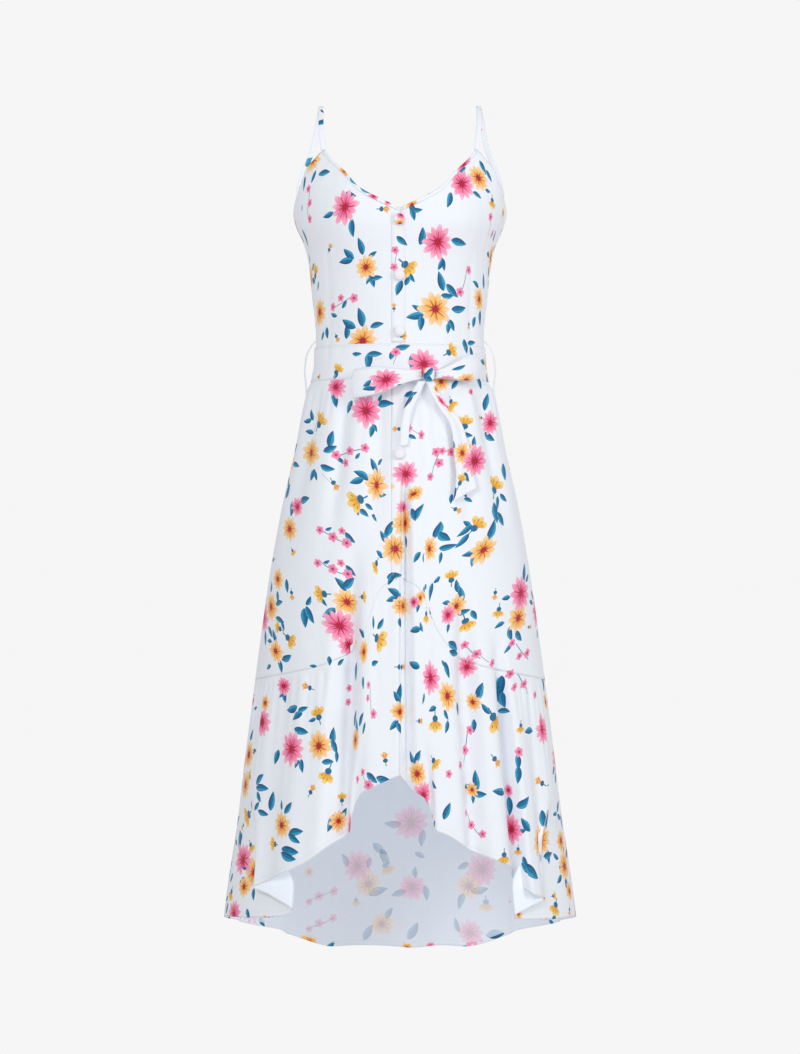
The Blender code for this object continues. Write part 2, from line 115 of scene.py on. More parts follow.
# angle, half width, depth
waistFolds = [
    (-60.0, 7.0, 0.0065), (-33.0, 4.6, 0.0080), (-11.0, 4.6, 0.0060), (15.0, 4.0, 0.0065),
    (34.0, 4.4, 0.0085), (57.0, 6.0, 0.0075), (95.0, 9.0, 0.0050), (122.0, 8.0, 0.0055),
    (150.0, 8.0, 0.0050), (175.0, 8.0, 0.0055), (-148.0, 8.0, 0.0050), (-118.0, 8.0, 0.0055),
    (-90.0, 8.0, 0.0045),
]
# the hem's side pleats, which turn back on themselves: angle, sideways turn in degrees, how far out
turnedPleat = np.array([
    (44.0, 0.0, 0.0), (54.0, -1.5, 0.0), (60.0, -3.5, -0.0005), (63.0, -6.5, -0.004), (68.0, -20.0, -0.014),
    (72.0, -32.0, -0.022), (75.0, -31.0, -0.024), (80.0, -20.0, -0.017), (86.0, -6.5, -0.006),
    (93.0, 0.0, 0.0), (100.0, 0.0, 0.0),
])
pleatReach = {"left": 1.0, "right": 0.92, "start": -1.010, "full": -1.155}
# small uneven gathers: how many, how deep, how far down they run, seed of their dice
gathers = {"waist": (66, (0.0009, 0.0028), (0.05, 0.17), 11),
           "flounce": (84, (0.0014, 0.0040), (0.07, 0.26), 12)}


def smoothCurve(table, column=1):
    # monotone curve through one column of a table, for numbers or arrays
    rows = table[np.argsort(table[:, 0])]
    places, values = rows[:, 0], rows[:, column]
    steps = np.diff(values) / np.diff(places)
    slopes = np.zeros(len(values))
    both = steps[:-1] * steps[1:]
    total = np.where(np.abs(steps[:-1] + steps[1:]) < 1e-12, 1.0, steps[:-1] + steps[1:])
    slopes[1:-1] = np.where(both > 0.0, 2.0 * both / total, 0.0)
    slopes[0], slopes[-1] = steps[0], steps[-1]

    def at(place):
        place = np.clip(place, places[0], places[-1])
        index = np.clip(np.searchsorted(places, place, side="right") - 1, 0, len(places) - 2)
        span = places[index + 1] - places[index]
        u = (place - places[index]) / span
        ease = u * u * (3.0 - 2.0 * u)
        bend = u * (1.0 - u) * span
        return (values[index] * (1.0 - ease) + values[index + 1] * ease
                + bend * ((1.0 - u) * slopes[index] - u * slopes[index + 1]))

    return at


halfWidthAt, frontDepthAt, backDepthAt = (smoothCurve(rings, column) for column in (1, 2, 3))
frontEdgeAt, backEdgeAt, seamAt = smoothCurve(frontEdge), smoothCurve(backEdge), smoothCurve(flounceSeam)
hemLeftAt, hemRightAt = smoothCurve(hemLeft), smoothCurve(hemRight)
pleatTurnAt, pleatOutAt = smoothCurve(turnedPleat, 1), smoothCurve(turnedPleat, 2)


def easeBetween(value, start, end):
    u = np.clip((value - start) / (end - start), 0.0, 1.0)
    return u * u * (3.0 - 2.0 * u)


def turnBetween(angle, other=0.0):
    return (angle - other + 180.0) % 360.0 - 180.0


def bump(angle, place, width, power=2.0):
    # 1 on a fold's line, fading on both sides
    u = np.abs(turnBetween(angle, place)) / width
    return np.where(u < 3.0, np.exp(-u ** power), 0.0)


def topEdge(angle):
    turn = np.abs(turnBetween(angle))
    return np.where(turn <= 90.0, frontEdgeAt(turn), backEdgeAt(turn))


def seamHeight(angle):
    return seamAt(np.abs(turnBetween(angle)))


def hemHeight(angle):
    turn = turnBetween(angle)
    return np.where(turn >= 0.0, hemRightAt(turn), hemLeftAt(-turn))


def makeCreases(count, depths, reaches, seed):
    dice = np.random.default_rng(seed)
    step = 360.0 / count
    return [((index + dice.uniform(-0.32, 0.32)) * step, dice.uniform(0.26, 0.44) * step,
             dice.uniform(*depths), dice.uniform(*reaches)) for index in range(count)]


waistCreases, flounceCreases = makeCreases(*gathers["waist"]), makeCreases(*gathers["flounce"])


def foldOffset(angle, height):
    out, turn = np.zeros_like(angle), np.zeros_like(angle)
    for place, width, depth, lean, start, full in folds:
        strength = easeBetween(height, start, full) * bump(angle, place, width)
        out -= depth * strength * (1.0 - 0.7 * (turnBetween(angle, place) / width) ** 2)
        turn += lean * strength
    side = turnBetween(angle)
    strength = easeBetween(height, pleatReach["start"], pleatReach["full"])
    strength = strength * np.where(side > 0.0, pleatReach["right"], pleatReach["left"])
    turn += np.sign(side) * pleatTurnAt(np.abs(side)) * strength
    out += pleatOutAt(np.abs(side)) * strength
    fall = easeBetween(height, -0.412, -0.450) * (1.0 - easeBetween(height, -0.52, -0.70))
    for place, width, depth in waistFolds:
        out -= depth * fall * bump(angle, place, width)
    return out, turn


def creaseOffset(angle, height):
    # the small gathers under the waist seam and under the flounce seam
    start = easeBetween(height, -0.414, -0.440)
    out = 0.0005 * start * (1.0 - easeBetween(height, -0.44, -0.54))
    for place, width, depth, reach in waistCreases:
        fade = 1.0 - easeBetween(height, -0.430, -0.440 - reach)
        out = out - depth * start * fade * bump(angle, place, width, 1.6)
    below = seamHeight(angle) - height
    start = easeBetween(below, 0.0015, 0.016)
    out = out + 0.0009 * start * (1.0 - easeBetween(below, 0.05, 0.16))
    for place, width, depth, reach in flounceCreases:
        fade = 1.0 - 0.9 * easeBetween(below, 0.02, reach)
        out = out - depth * start * fade * bump(angle, place, width, 1.6)
    return out


def bodiceOffset(angle, height):
    # fullness of the bust, the waist dart and a few soft drag lines on each side
    turn = np.abs(turnBetween(angle))
    across = halfWidthAt(height) * np.sin(np.radians(turn))
    cup = 0.009 * np.exp(-((across - 0.078) / 0.046) ** 2 - ((height - form["bustHeight"]) / 0.055) ** 2)
    dart = 0.0016 * easeBetween(height, -0.205, -0.240) * np.exp(-((across - 0.104) / 0.0026) ** 2)
    pull = 0.0010 * np.exp(-((across - 0.090 - 0.25 * (height + 0.36)) / 0.010) ** 2)
    pull = pull * easeBetween(height, -0.25, -0.34)
    return np.where((turn <= 90.0) & (height > form["waistHeight"]), cup - dart - pull, 0.0)


def pushedOut(radians, width, depth, height, lift):
    # points on the form's oval, moved out along its normal
    x, y = np.sin(radians), -np.cos(radians)
    size = np.hypot(x / width, y / depth)
    return np.stack([width * x + x / width / size * lift,
                     depth * y + y / depth / size * lift, height], axis=-1)


def clothPoints(angle, height, lift=0.0, small=True):
    angle, height = np.broadcast_arrays(np.asarray(angle, float), np.asarray(height, float))
    out, turn = foldOffset(angle, height)
    out = out + bodiceOffset(angle, height) + lift
    if small:
        out = out + creaseOffset(angle, height)
    radians = np.radians(angle + turn)
    depth = np.where(np.cos(radians) > 0.0, frontDepthAt(height), backDepthAt(height))
    return pushedOut(radians, halfWidthAt(height), depth, height, out)


def basePoints(across, height, lift):
    # in front of the garment, with no folds, for what hangs there
    across, height = np.broadcast_arrays(np.asarray(across, float), np.asarray(height, float))
    width = halfWidthAt(height)
    return pushedOut(np.arcsin(np.clip(across / width, -1.0, 1.0)), width, frontDepthAt(height), height, lift)


# The print: a half-drop repeat of small bouquets, charted in millimetres of flat cloth.
printRepeat = {"width": 0.352, "length": 0.396}
# motif, across, down, half size, turn
bouquets = {
    "pinkDaisy": [("pink", 0, 0, 27, 10), ("leaf", 27, -24, 11, -42), ("leaf", -30, 15, 10, 152),
        ("leaf", -22, 27, 9, 118), ("leaf", 33, 10, 8, 22), ("tulip", 12, 43, 8, 196)],
    "peachDaisy": [("peach", 0, 0, 24, 0), ("leaf", 29, -8, 11, -18), ("leaf", 24, 18, 10, 38),
        ("leaf", -24, -18, 11, -140), ("leaf", -31, 2, 9, 176), ("leaf", -8, 32, 9, 104),
        ("bud", 3, -39, 11, -8)],
    "pair": [("pink", -15, -8, 26, 30), ("peach", 20, 12, 22, 12), ("leaf", 10, -31, 11, -62),
        ("leaf", -34, 18, 11, 146), ("leaf", -14, 29, 10, 108), ("leaf", 45, -5, 9, -24),
        ("leaf", 41, 30, 10, 40), ("bud", 6, 45, 11, 168), ("stem", 36, -22, 12, -60)],
    "buds": [("bud", 0, -8, 13, -20), ("bud", 24, 8, 11, 62), ("leaf", 4, 18, 10, 74),
        ("leaf", -13, 13, 9, 128), ("leaf", 20, 27, 8, 40)],
    "sprig": [("stem", 0, 0, 26, -18), ("stem", 8, 9, 13, 52), ("blossom", -27, 8, 4.6, 0),
        ("blossom", -10, -4, 4.8, 30), ("blossom", 10, -12, 4.4, 10), ("blossom", 28, -8, 4.6, 50),
        ("blossom", 16, 20, 4.4, 20), ("leaf", -4, 12, 5, 100), ("leaf", 2, -15, 5, -70)],
    "tulip": [("tulip", 0, 0, 9, 0), ("leaf", 9, 14, 7, 48)],
    "leaves": [("leaf", 0, -9, 11, -78), ("leaf", 11, 4, 10, -8), ("leaf", -10, 8, 8, 150),
        ("stem", 2, 14, 10, 80)],
}
# bouquet, across, down, turn
printChart = [
    ("pinkDaisy", 44, 38, 0), ("tulip", 104, 20, 40), ("peachDaisy", 150, 84, -25), ("sprig", 236, 36, 20),
    ("pair", 306, 104, 10), ("buds", 84, 132, 35), ("tulip", 222, 132, 200), ("leaves", 18, 116, 30),
    ("peachDaisy", 26, 200, 110), ("pinkDaisy", 158, 214, 75), ("sprig", 256, 200, -60),
    ("buds", 322, 214, 160), ("tulip", 92, 236, 300), ("pair", 84, 316, -55),
    ("peachDaisy", 238, 296, 150), ("tulip", 176, 300, 120), ("pinkDaisy", 326, 318, 210),
    ("leaves", 164, 356, 200), ("sprig", 250, 372, 5), ("tulip", 20, 268, 20), ("leaves", 292, 262, 80),
]
# The print that shows from the front, charted in steps of 1.5 mm. Flowers: across, down, half size.
# Leaves, stems, buds and tulips: also the way they point, 0 right and 90 down.
chartStep = 0.0015
chartMiddle, chartTop = 400.0, 107.0  # the middle of the dress and the top of its straps
frontPrint = {
    "bodice": {
        "pink": [(345, 207, 18), (462, 184, 18), (438, 242, 18), (424, 366, 14)],
        "peach": [(313, 160, 15), (478, 178, 15), (366, 267, 13), (320, 312, 15), (363, 341, 17),
            (435, 309, 18), (479, 299, 12), (503, 213, 6)],
        "bud": [(411, 205, 9, -110), (316, 272, 11, -80), (408, 267, 11, 40), (403, 336, 5, 0),
            (492, 203, 8, 100), (451, 351, 9, -30)],
        "tulip": [(384, 209, 8, 0), (330, 248, 6, -60), (394, 307, 5, -90), (468, 326, 5, 100),
            (337, 338, 6, 60)],
        "blossom": [(309, 189, 5), (310, 203, 5), (310, 219, 5), (490, 217, 5), (491, 234, 5),
            (395, 250, 4.5), (394, 267, 4.5), (333, 307, 5), (341, 298, 4.5), (354, 298, 5.5),
            (469, 270, 5), (460, 292, 5.5)],
        "stem": [(309, 204, 16, 88), (490, 226, 10, 90), (396, 259, 10, 100), (343, 302, 12, -25),
            (464, 282, 13, -70), (404, 262, 6, 35)],
        "leaf": [(325, 173, 8, -5), (314, 177, 7, 110), (304, 184, 8, 85), (351, 195, 8, 15),
            (328, 215, 7, 165), (352, 228, 9, 85), (413, 214, 7, 75), (417, 210, 6, 0), (483, 168, 8, 70),
            (488, 176, 7, 60), (449, 200, 9, 115), (462, 170, 6, -30), (477, 195, 6, 30),
            (488, 191, 5, 10), (422, 236, 9, -80), (459, 242, 9, 10), (443, 264, 7, 75),
            (440, 265, 6, 120), (402, 241, 7, 40), (408, 280, 6, -60), (399, 288, 8, 110),
            (412, 278, 5, 60), (361, 246, 9, -110), (349, 254, 8, -140), (346, 261, 8, 175),
            (373, 254, 5, -30), (372, 281, 7, 65), (377, 278, 6, -10), (368, 281, 4, 120),
            (318, 286, 5, 100), (345, 304, 5, -60), (334, 315, 5, -160), (361, 317, 10, -105),
            (349, 324, 9, -150), (347, 331, 8, -90), (377, 325, 7, -15), (441, 281, 10, -105),
            (452, 291, 9, 45), (447, 296, 7, 0), (459, 309, 9, -8), (415, 316, 9, 170), (421, 323, 8, 95),
            (417, 308, 6, -150), (451, 325, 7, 60), (448, 328, 6, 100), (483, 281, 8, -90),
            (476, 284, 6, -150), (488, 284, 5, -60), (480, 318, 8, 95), (474, 322, 6, 110),
            (302, 208, 4, 90), (306, 238, 9, 75), (327, 333, 6, 80), (323, 336, 5, 110),
            (488, 270, 5, -60), (403, 347, 7, -10), (393, 352, 6, -60), (369, 360, 9, 95),
            (375, 353, 7, 0), (465, 346, 7, 70), (471, 343, 6, -10)],
    },
    "binding": {
        "pink": [(374, 196, 6), (388, 202, 4), (463, 164, 11)],
        "peach": [(345, 171, 7), (412, 205, 8), (473, 143, 9)],
        "leaf": [(354, 181, 6, 50), (365, 190, 6, 40), (429, 191, 6, -30)],
    },
    "sash": {
        "pink": [(424, 364, 15)],
        "bud": [(338, 370, 8, -60), (451, 351, 9, -30), (319, 377, 4, 0)],
        "blossom": [(396, 352, 5), (417, 369, 5), (428, 368, 5), (476, 343, 4)],
        "stem": [(396, 357, 8, 110)],
        "leaf": [(369, 361, 9, 95), (375, 354, 7, 0), (403, 347, 7, -10), (393, 354, 6, -60),
            (412, 362, 8, 95), (465, 347, 7, 70), (336, 376, 4, 120), (479, 383, 7, 75), (471, 352, 6, 60),
            (357, 354, 5, 0)],
    },
    "loopLeft": {
        "pink": [(386, 380, 16)],
        "leaf": [(371, 388, 8, 185), (367, 384, 5, 150), (401, 388, 6, 60)],
    },
    "loopRight": {
        "pink": [(447, 381, 9)],
        "peach": [(466, 380, 9)],
        "leaf": [(459, 368, 6, -10)],
    },
    "tailLong": {
        "pink": [(441, 401, 9), (475, 462, 17)],
        "peach": [(436, 389, 7), (462, 453, 13)],
        "bud": [(448, 408, 8, 60), (461, 480, 7, -60)],
        "leaf": [(452, 444, 7, -110), (474, 442, 6, -90), (466, 477, 6, 60), (453, 496, 6, 100)],
    },
    "tailShort": {
        "leaf": [(404, 403, 12, 100), (409, 395, 8, -30), (407, 386, 6, -80)],
    },
    "skirt": {
        "pink": [(336, 387, 12), (366, 411, 18), (490, 423, 13), (475, 461, 17), (298, 507, 11),
            (406, 474, 14), (340, 626, 18), (349, 645, 14), (521, 593, 18), (448, 615, 11), (404, 508, 9),
            (414, 602, 7), (471, 392, 4)],
        "peach": [(312, 453, 16), (377, 485, 17), (395, 549, 16), (405, 523, 14), (429, 549, 13),
            (484, 550, 15), (290, 529, 13), (462, 453, 12), (414, 494, 9), (278, 579, 12), (347, 602, 15),
            (403, 606, 12), (456, 606, 12), (518, 618, 16), (364, 652, 13), (276, 651, 12), (441, 382, 10),
            (420, 598, 8), (510, 466, 6)],
        "bud": [(320, 421, 12, -55), (357, 501, 13, 160), (465, 423, 10, -85), (451, 404, 8, 60),
            (494, 486, 13, -70), (461, 479, 6, -60), (477, 525, 11, -60), (375, 566, 10, 130),
            (451, 577, 9, -100), (321, 594, 10, 180), (364, 597, 7, 0), (426, 617, 9, 90),
            (466, 624, 10, 60), (498, 612, 8, 90), (379, 640, 13, 25), (290, 640, 10, 40),
            (293, 552, 5, 60)],
        "tulip": [(335, 485, 8, 60), (397, 429, 6, 180), (480, 418, 5, 180), (457, 510, 7, 20),
            (292, 595, 7, 90), (495, 595, 7, 90)],
        "blossom": [(336, 455, 5.5), (350, 451, 5.5), (365, 448, 5.5), (346, 463, 5), (408, 428, 5),
            (421, 435, 5.5), (436, 452, 5.5), (442, 451, 4.5), (451, 452, 5.5), (439, 463, 5.5),
            (430, 477, 5), (320, 530, 5), (333, 537, 6), (342, 531, 4.5), (347, 543, 6), (318, 563, 5),
            (333, 569, 6), (341, 563, 4.5), (348, 574, 6), (512, 643, 5), (519, 656, 5), (527, 653, 5.5),
            (465, 645, 5), (477, 654, 5.5)],
        "stem": [(350, 452, 17, -12), (340, 458, 8, 40), (414, 431, 9, 30), (443, 452, 9, 0),
            (435, 464, 13, 105), (334, 537, 17, 28), (333, 569, 17, 28), (522, 652, 16, 32),
            (471, 651, 14, 35), (316, 426, 8, 120), (326, 478, 6, 50)],
        "leaf": [(335, 399, 9, 90), (350, 407, 8, 125), (385, 404, 9, -5), (380, 399, 5, -60),
            (372, 431, 7, 110), (375, 428, 5, 60), (411, 394, 7, -20), (312, 415, 6, -100),
            (308, 421, 6, 170), (310, 432, 6, 190), (331, 439, 9, -70), (330, 449, 8, -20),
            (327, 468, 8, 15), (313, 475, 7, 120), (316, 476, 5, 80), (341, 461, 5, 40),
            (358, 456, 4, -50), (374, 466, 9, -120), (362, 475, 9, -150), (357, 481, 8, 165),
            (382, 495, 6, 0), (380, 462, 5, -40), (364, 513, 7, 30), (374, 518, 6, 35), (358, 511, 5, 100),
            (369, 507, 6, 30), (460, 434, 6, -60), (467, 435, 6, 10), (462, 430, 5, 100),
            (455, 445, 7, -120), (474, 442, 6, -95), (485, 402, 9, -95), (489, 437, 8, 30),
            (455, 384, 6, -60), (479, 383, 7, 75), (412, 437, 5, 20), (467, 477, 6, 70), (464, 493, 6, 60),
            (468, 500, 5, 20), (451, 499, 5, 90), (503, 498, 6, 40), (495, 513, 11, 72), (500, 519, 9, 50),
            (497, 503, 7, 100), (504, 472, 9, 80), (304, 500, 9, -15), (292, 509, 8, 100),
            (288, 491, 9, -60), (329, 529, 4, -20), (350, 538, 7, 50), (327, 562, 4, -20),
            (351, 571, 7, 50), (389, 529, 9, -65), (384, 537, 8, -130), (379, 554, 7, -150),
            (407, 542, 6, 80), (438, 530, 9, -100), (444, 537, 8, 30), (448, 547, 8, -15),
            (440, 558, 6, 95), (417, 557, 7, 130), (418, 512, 9, -70), (413, 515, 7, 70),
            (467, 524, 6, -150), (465, 531, 8, 130), (462, 541, 8, 110), (492, 530, 11, -85),
            (470, 554, 8, 170), (474, 559, 8, 95), (394, 576, 8, -10), (391, 579, 7, 120),
            (349, 583, 9, -40), (341, 584, 8, -120), (437, 580, 6, 150), (430, 592, 10, 110),
            (424, 589, 7, 140), (287, 586, 7, 90), (278, 597, 6, 90), (324, 602, 5, 60),
            (309, 601, 6, -50), (305, 618, 10, 100), (310, 615, 9, 75), (329, 613, 9, 150),
            (394, 592, 8, -150), (392, 599, 7, 160), (400, 623, 5, 80), (418, 607, 6, 110),
            (415, 630, 8, 170), (421, 627, 6, -120), (460, 596, 10, -100), (457, 586, 7, -110),
            (463, 612, 7, -20), (446, 603, 6, 180), (448, 628, 5, 95), (474, 615, 6, 50),
            (524, 572, 9, -95), (527, 578, 6, -40), (506, 598, 6, 170), (499, 625, 6, 150),
            (510, 634, 8, 60), (518, 636, 8, 40), (509, 648, 6, 120), (374, 622, 7, -100),
            (380, 624, 7, -50), (362, 633, 7, -140), (357, 672, 10, 95), (374, 663, 7, -10),
            (275, 636, 7, -110), (270, 641, 5, 180), (287, 658, 8, -20), (281, 666, 7, 90),
            (269, 667, 5, 150), (280, 620, 7, 20), (283, 626, 5, 80), (330, 661, 5, 100),
            (341, 662, 5, -40), (453, 646, 9, 30), (454, 653, 8, 10), (423, 558, 5, 100)],
    },
    "flounce": {
        "pink": [(430, 678, 18), (467, 667, 12), (284, 686, 10), (292, 749, 18), (262, 722, 16),
            (541, 729, 17), (424, 795, 15), (351, 827, 15), (244, 860, 19), (512, 829, 16), (235, 913, 14),
            (431, 819, 6), (254, 701, 6), (509, 790, 7), (430, 946, 5)],
        "peach": [(447, 696, 16), (400, 712, 11), (473, 702, 10), (319, 746, 16), (355, 740, 13),
            (266, 703, 9), (545, 702, 9), (417, 774, 14), (246, 785, 15), (282, 825, 14), (243, 887, 12),
            (338, 821, 12), (538, 841, 17), (561, 841, 13), (569, 891, 11), (472, 790, 8), (309, 944, 12),
            (407, 946, 6), (293, 935, 8), (518, 914, 6)],
        "bud": [(435, 723, 12, 90), (495, 721, 14, 60), (318, 714, 10, -110), (327, 775, 11, 110),
            (435, 763, 9, 50), (248, 816, 12, 150), (274, 844, 8, 180), (504, 858, 9, 90),
            (518, 851, 6, 90), (555, 908, 10, 120), (554, 896, 5, 0), (342, 798, 7, -90),
            (268, 920, 7, 150), (520, 728, 7, 90)],
        "tulip": [(402, 667, 8, 0), (308, 687, 8, 200), (420, 721, 8, 0), (385, 758, 8, -100),
            (496, 761, 9, 50), (312, 790, 8, -60), (540, 782, 9, -150)],
        "blossom": [(492, 663, 5), (510, 674, 5.5), (514, 687, 5), (524, 684, 5.5), (536, 694, 5.5),
            (368, 685, 5), (367, 698, 5), (373, 714, 6), (349, 688, 4.5), (348, 702, 4.5), (470, 730, 5.5),
            (464, 750, 6), (460, 765, 5), (358, 779, 5.5), (368, 785, 6.5), (363, 772, 4.5), (466, 813, 5),
            (471, 825, 5), (483, 834, 5), (519, 752, 6), (449, 774, 5), (557, 807, 4)],
        "stem": [(370, 699, 17, 80), (465, 748, 20, 105), (523, 684, 17, 38), (484, 658, 9, 35),
            (364, 780, 10, 60), (473, 825, 15, 52)],
        "leaf": [(414, 665, 9, 195), (447, 670, 9, 70), (443, 664, 5, 50), (424, 699, 6, 110),
            (457, 709, 7, 90), (433, 709, 7, 165), (446, 715, 6, 60), (447, 727, 7, 110),
            (400, 692, 9, -80), (397, 697, 7, -120), (394, 725, 7, 130), (399, 728, 6, 70),
            (364, 683, 7, 80), (355, 718, 9, -70), (361, 719, 9, -50), (364, 729, 8, 110),
            (357, 726, 8, -110), (285, 697, 6, 90), (281, 695, 4, 130), (313, 666, 4, 180),
            (292, 709, 9, 165), (297, 716, 8, 150), (303, 709, 6, -20), (313, 720, 5, 160),
            (301, 731, 9, 10), (277, 757, 8, 110), (302, 766, 7, 80), (297, 764, 5, 120),
            (333, 736, 9, -90), (334, 747, 8, 60), (328, 762, 7, 0), (337, 757, 6, 80), (480, 691, 9, -75),
            (474, 726, 7, 100), (499, 689, 14, 75), (503, 700, 9, 60), (486, 709, 7, -130),
            (504, 711, 7, 0), (528, 731, 8, 180), (543, 683, 9, 85), (518, 762, 8, 90), (518, 775, 9, 95),
            (411, 758, 8, -120), (418, 757, 8, -60), (434, 785, 6, 40), (434, 826, 7, 120),
            (372, 778, 8, 40), (384, 780, 9, 15), (262, 788, 9, 0), (260, 779, 8, -45), (259, 797, 6, 60),
            (252, 803, 7, -80), (257, 806, 6, -50), (263, 813, 7, 15), (272, 801, 10, -80),
            (240, 841, 11, 80), (257, 877, 7, -30), (232, 878, 6, 120), (288, 808, 8, -50),
            (282, 805, 5, -100), (296, 832, 9, -10), (294, 839, 8, 30), (290, 851, 11, 5),
            (288, 857, 10, 15), (266, 868, 10, 85), (331, 823, 10, 120), (344, 813, 7, -50),
            (476, 780, 10, -95), (480, 794, 8, 0), (467, 787, 7, 190), (473, 799, 5, 90),
            (500, 792, 9, 190), (510, 806, 10, 90), (524, 803, 10, -30), (526, 825, 9, -130),
            (543, 820, 10, 80), (521, 832, 6, 150), (547, 855, 8, -10), (539, 859, 8, 80),
            (529, 869, 11, 25), (533, 873, 11, 40), (524, 861, 7, 60), (561, 822, 8, 80),
            (562, 855, 5, 100), (562, 868, 8, 10), (566, 881, 8, -70), (512, 921, 8, 20),
            (249, 915, 7, 60), (330, 946, 6, -60), (447, 811, 9, -70)],
    },
    "inside": {
        "pink": [(411, 823, 19), (357, 866, 17), (412, 887, 15), (482, 869, 18), (470, 933, 15),
            (430, 947, 6)],
        "peach": [(368, 884, 14), (469, 886, 15), (382, 924, 13), (309, 872, 6), (309, 943, 11),
            (407, 948, 7)],
        "bud": [(387, 868, 9, 60), (486, 905, 9, 90), (356, 902, 6, 90)],
        "blossom": [(334, 891, 5.5), (319, 896, 5.5), (309, 902, 4.5), (333, 918, 5.5), (319, 923, 5.5),
            (309, 929, 4.5)],
        "stem": [(320, 896, 15, -20), (320, 924, 15, -20)],
        "leaf": [(393, 824, 9, 180), (422, 838, 9, 100), (380, 849, 9, 40), (385, 857, 9, 60),
            (378, 891, 10, -20), (368, 932, 9, -60), (413, 931, 10, -60), (496, 934, 11, -10),
            (420, 855, 6, 30), (345, 860, 8, -120), (399, 893, 8, 160), (426, 893, 8, 80),
            (463, 866, 7, 150), (461, 901, 9, 110), (457, 925, 8, -110), (389, 913, 7, -60),
            (525, 905, 8, 10), (369, 863, 6, 100), (415, 872, 6, -90), (480, 890, 9, -10),
            (330, 946, 7, -40), (468, 948, 6, 10)],
    },
}
# code in the shader, reach along and across in half sizes, size over the charted one
motifKinds = {
    "pink": (0, 1.02, 1.02, 1.10), "peach": (1, 1.02, 1.02, 1.11), "leaf": (0, 1.02, 0.62, 1.04),
    "stem": (1, 1.02, 0.28, 1.0), "bud": (2, 1.1, 1.05, 1.08), "tulip": (3, 1.1, 1.05, 1.0),
    "blossom": (4, 1.05, 1.05, 1.0),
}
daisies, upright = ("pink", "peach"), ("bud", "tulip")
layerNames = {"daisy": ["daisyOne", "daisyTwo"], "small": ["smallOne", "smallTwo", "smallThree", "smallFour"]}
allLayers = layerNames["small"] + layerNames["daisy"]
drawOrder = ("stem", "leaf", "blossom", "tulip", "bud", "peach", "pink")
cameraPlace = (0.0, -3.5, -0.63)
noPlace = 9.0  # a place so far off that nothing shows there


def localPlace(places, motif):
    # flat cloth places, in metres, seen from one motif
    delta = (places - motif["centre"]) / motif["size"]
    cosine, sine = math.cos(motif["turn"]), math.sin(motif["turn"])
    return np.stack([delta[..., 0] * cosine + delta[..., 1] * sine,
                     delta[..., 1] * cosine - delta[..., 0] * sine], axis=-1)


def newMotif(kind, centre, size, turn, luck):
    code, along, aside, scale = motifKinds[kind]
    return {"kind": kind, "centre": np.asarray(centre, float), "size": size * scale, "turn": turn,
            "box": (along, aside), "code": code + 0.05 + 0.85 * (luck % 1.0),
            "layers": layerNames["daisy" if kind in daisies else "small"]}


def repeatMotifs(places, shown):
    # bouquets of the half-drop repeat whose middle lies on cloth that the chart leaves free
    flat, free = places.reshape(-1, 2), shown.reshape(-1)
    low, high = flat.min(axis=0), flat.max(axis=0)
    width, length = printRepeat["width"], printRepeat["length"]
    motifs = []
    for column in range(math.floor(low[0] / width) - 1, math.ceil(high[0] / width) + 1):
        for row in range(math.floor(low[1] / length) - 2, math.ceil(high[1] / length) + 1):
            for index, (bouquet, across, down, turn) in enumerate(printChart):
                middle = np.array([across / 1000.0 + column * width,
                                   down / 1000.0 + (row + 0.5 * (column % 2)) * length])
                if np.any(middle < low - 0.04) or np.any(middle > high + 0.04):
                    continue
                if not free[int(np.argmin(((flat - middle) ** 2).sum(axis=1)))]:
                    continue
                angle = math.radians(turn)
                for kind, x, y, size, ownTurn in bouquets[bouquet]:
                    centre = middle + np.array([x * math.cos(angle) - y * math.sin(angle),
                                                x * math.sin(angle) + y * math.cos(angle)]) / 1000.0
                    motifs.append(newMotif(kind, centre, size / 1000.0, angle + math.radians(ownTurn),
                                           0.37 * index + 0.13 * size))
    return sorted(motifs, key=lambda motif: drawOrder.index(motif["kind"]))


def chartedMotifs(chart, grid, places, mirrored=False, within=None):
    # motifs of the front chart, set on the cloth where they show
    nearer = cameraPlace[1] / (cameraPlace[1] - grid[..., 1].ravel())
    level = cameraPlace[2] + (grid[..., 2].ravel() - cameraPlace[2]) * nearer
    seen = np.stack([chartMiddle + grid[..., 0].ravel() * nearer / chartStep,
                     chartTop - level / chartStep], axis=-1)
    flat = places.reshape(-1, 2)
    if within is not None:
        nearer, seen, flat = nearer[within.ravel()], seen[within.ravel()], flat[within.ravel()]
    motifs = []
    for kind in drawOrder:
        for entry in chart.get(kind, []):
            gap = np.array(entry[:2]) - seen
            nearest = int(np.argmin((gap ** 2).sum(axis=1)))
            gap = gap[nearest]
            if math.hypot(*gap) > 1.2 * entry[2] + 1.0:
                continue
            scale = chartStep / nearer[nearest]
            pointing = entry[3] if len(entry) > 3 else (entry[0] * 37 + entry[1] * 11) % 360
            turn = math.radians(pointing - (90.0 if kind in upright else 0.0))
            if mirrored:
                gap = gap * np.array([-1.0, 1.0])
                turn = -turn if kind in upright else math.pi - turn
            motifs.append(newMotif(kind, flat[nearest] + gap * scale, entry[2] * scale, turn,
                                   0.31 * entry[0] + 0.17 * entry[1]))
    return motifs


def writeLayers(mesh, layers):
    for name, values in layers.items():
        blank = np.full((len(mesh.loops), 3), noPlace, dtype=np.float32)
        blank[:, 2] = 0.0
        blank[:len(values)] = values
        mesh.attributes.new(name, "FLOAT_VECTOR", "CORNER").data.foreach_set("vector", blank.ravel())


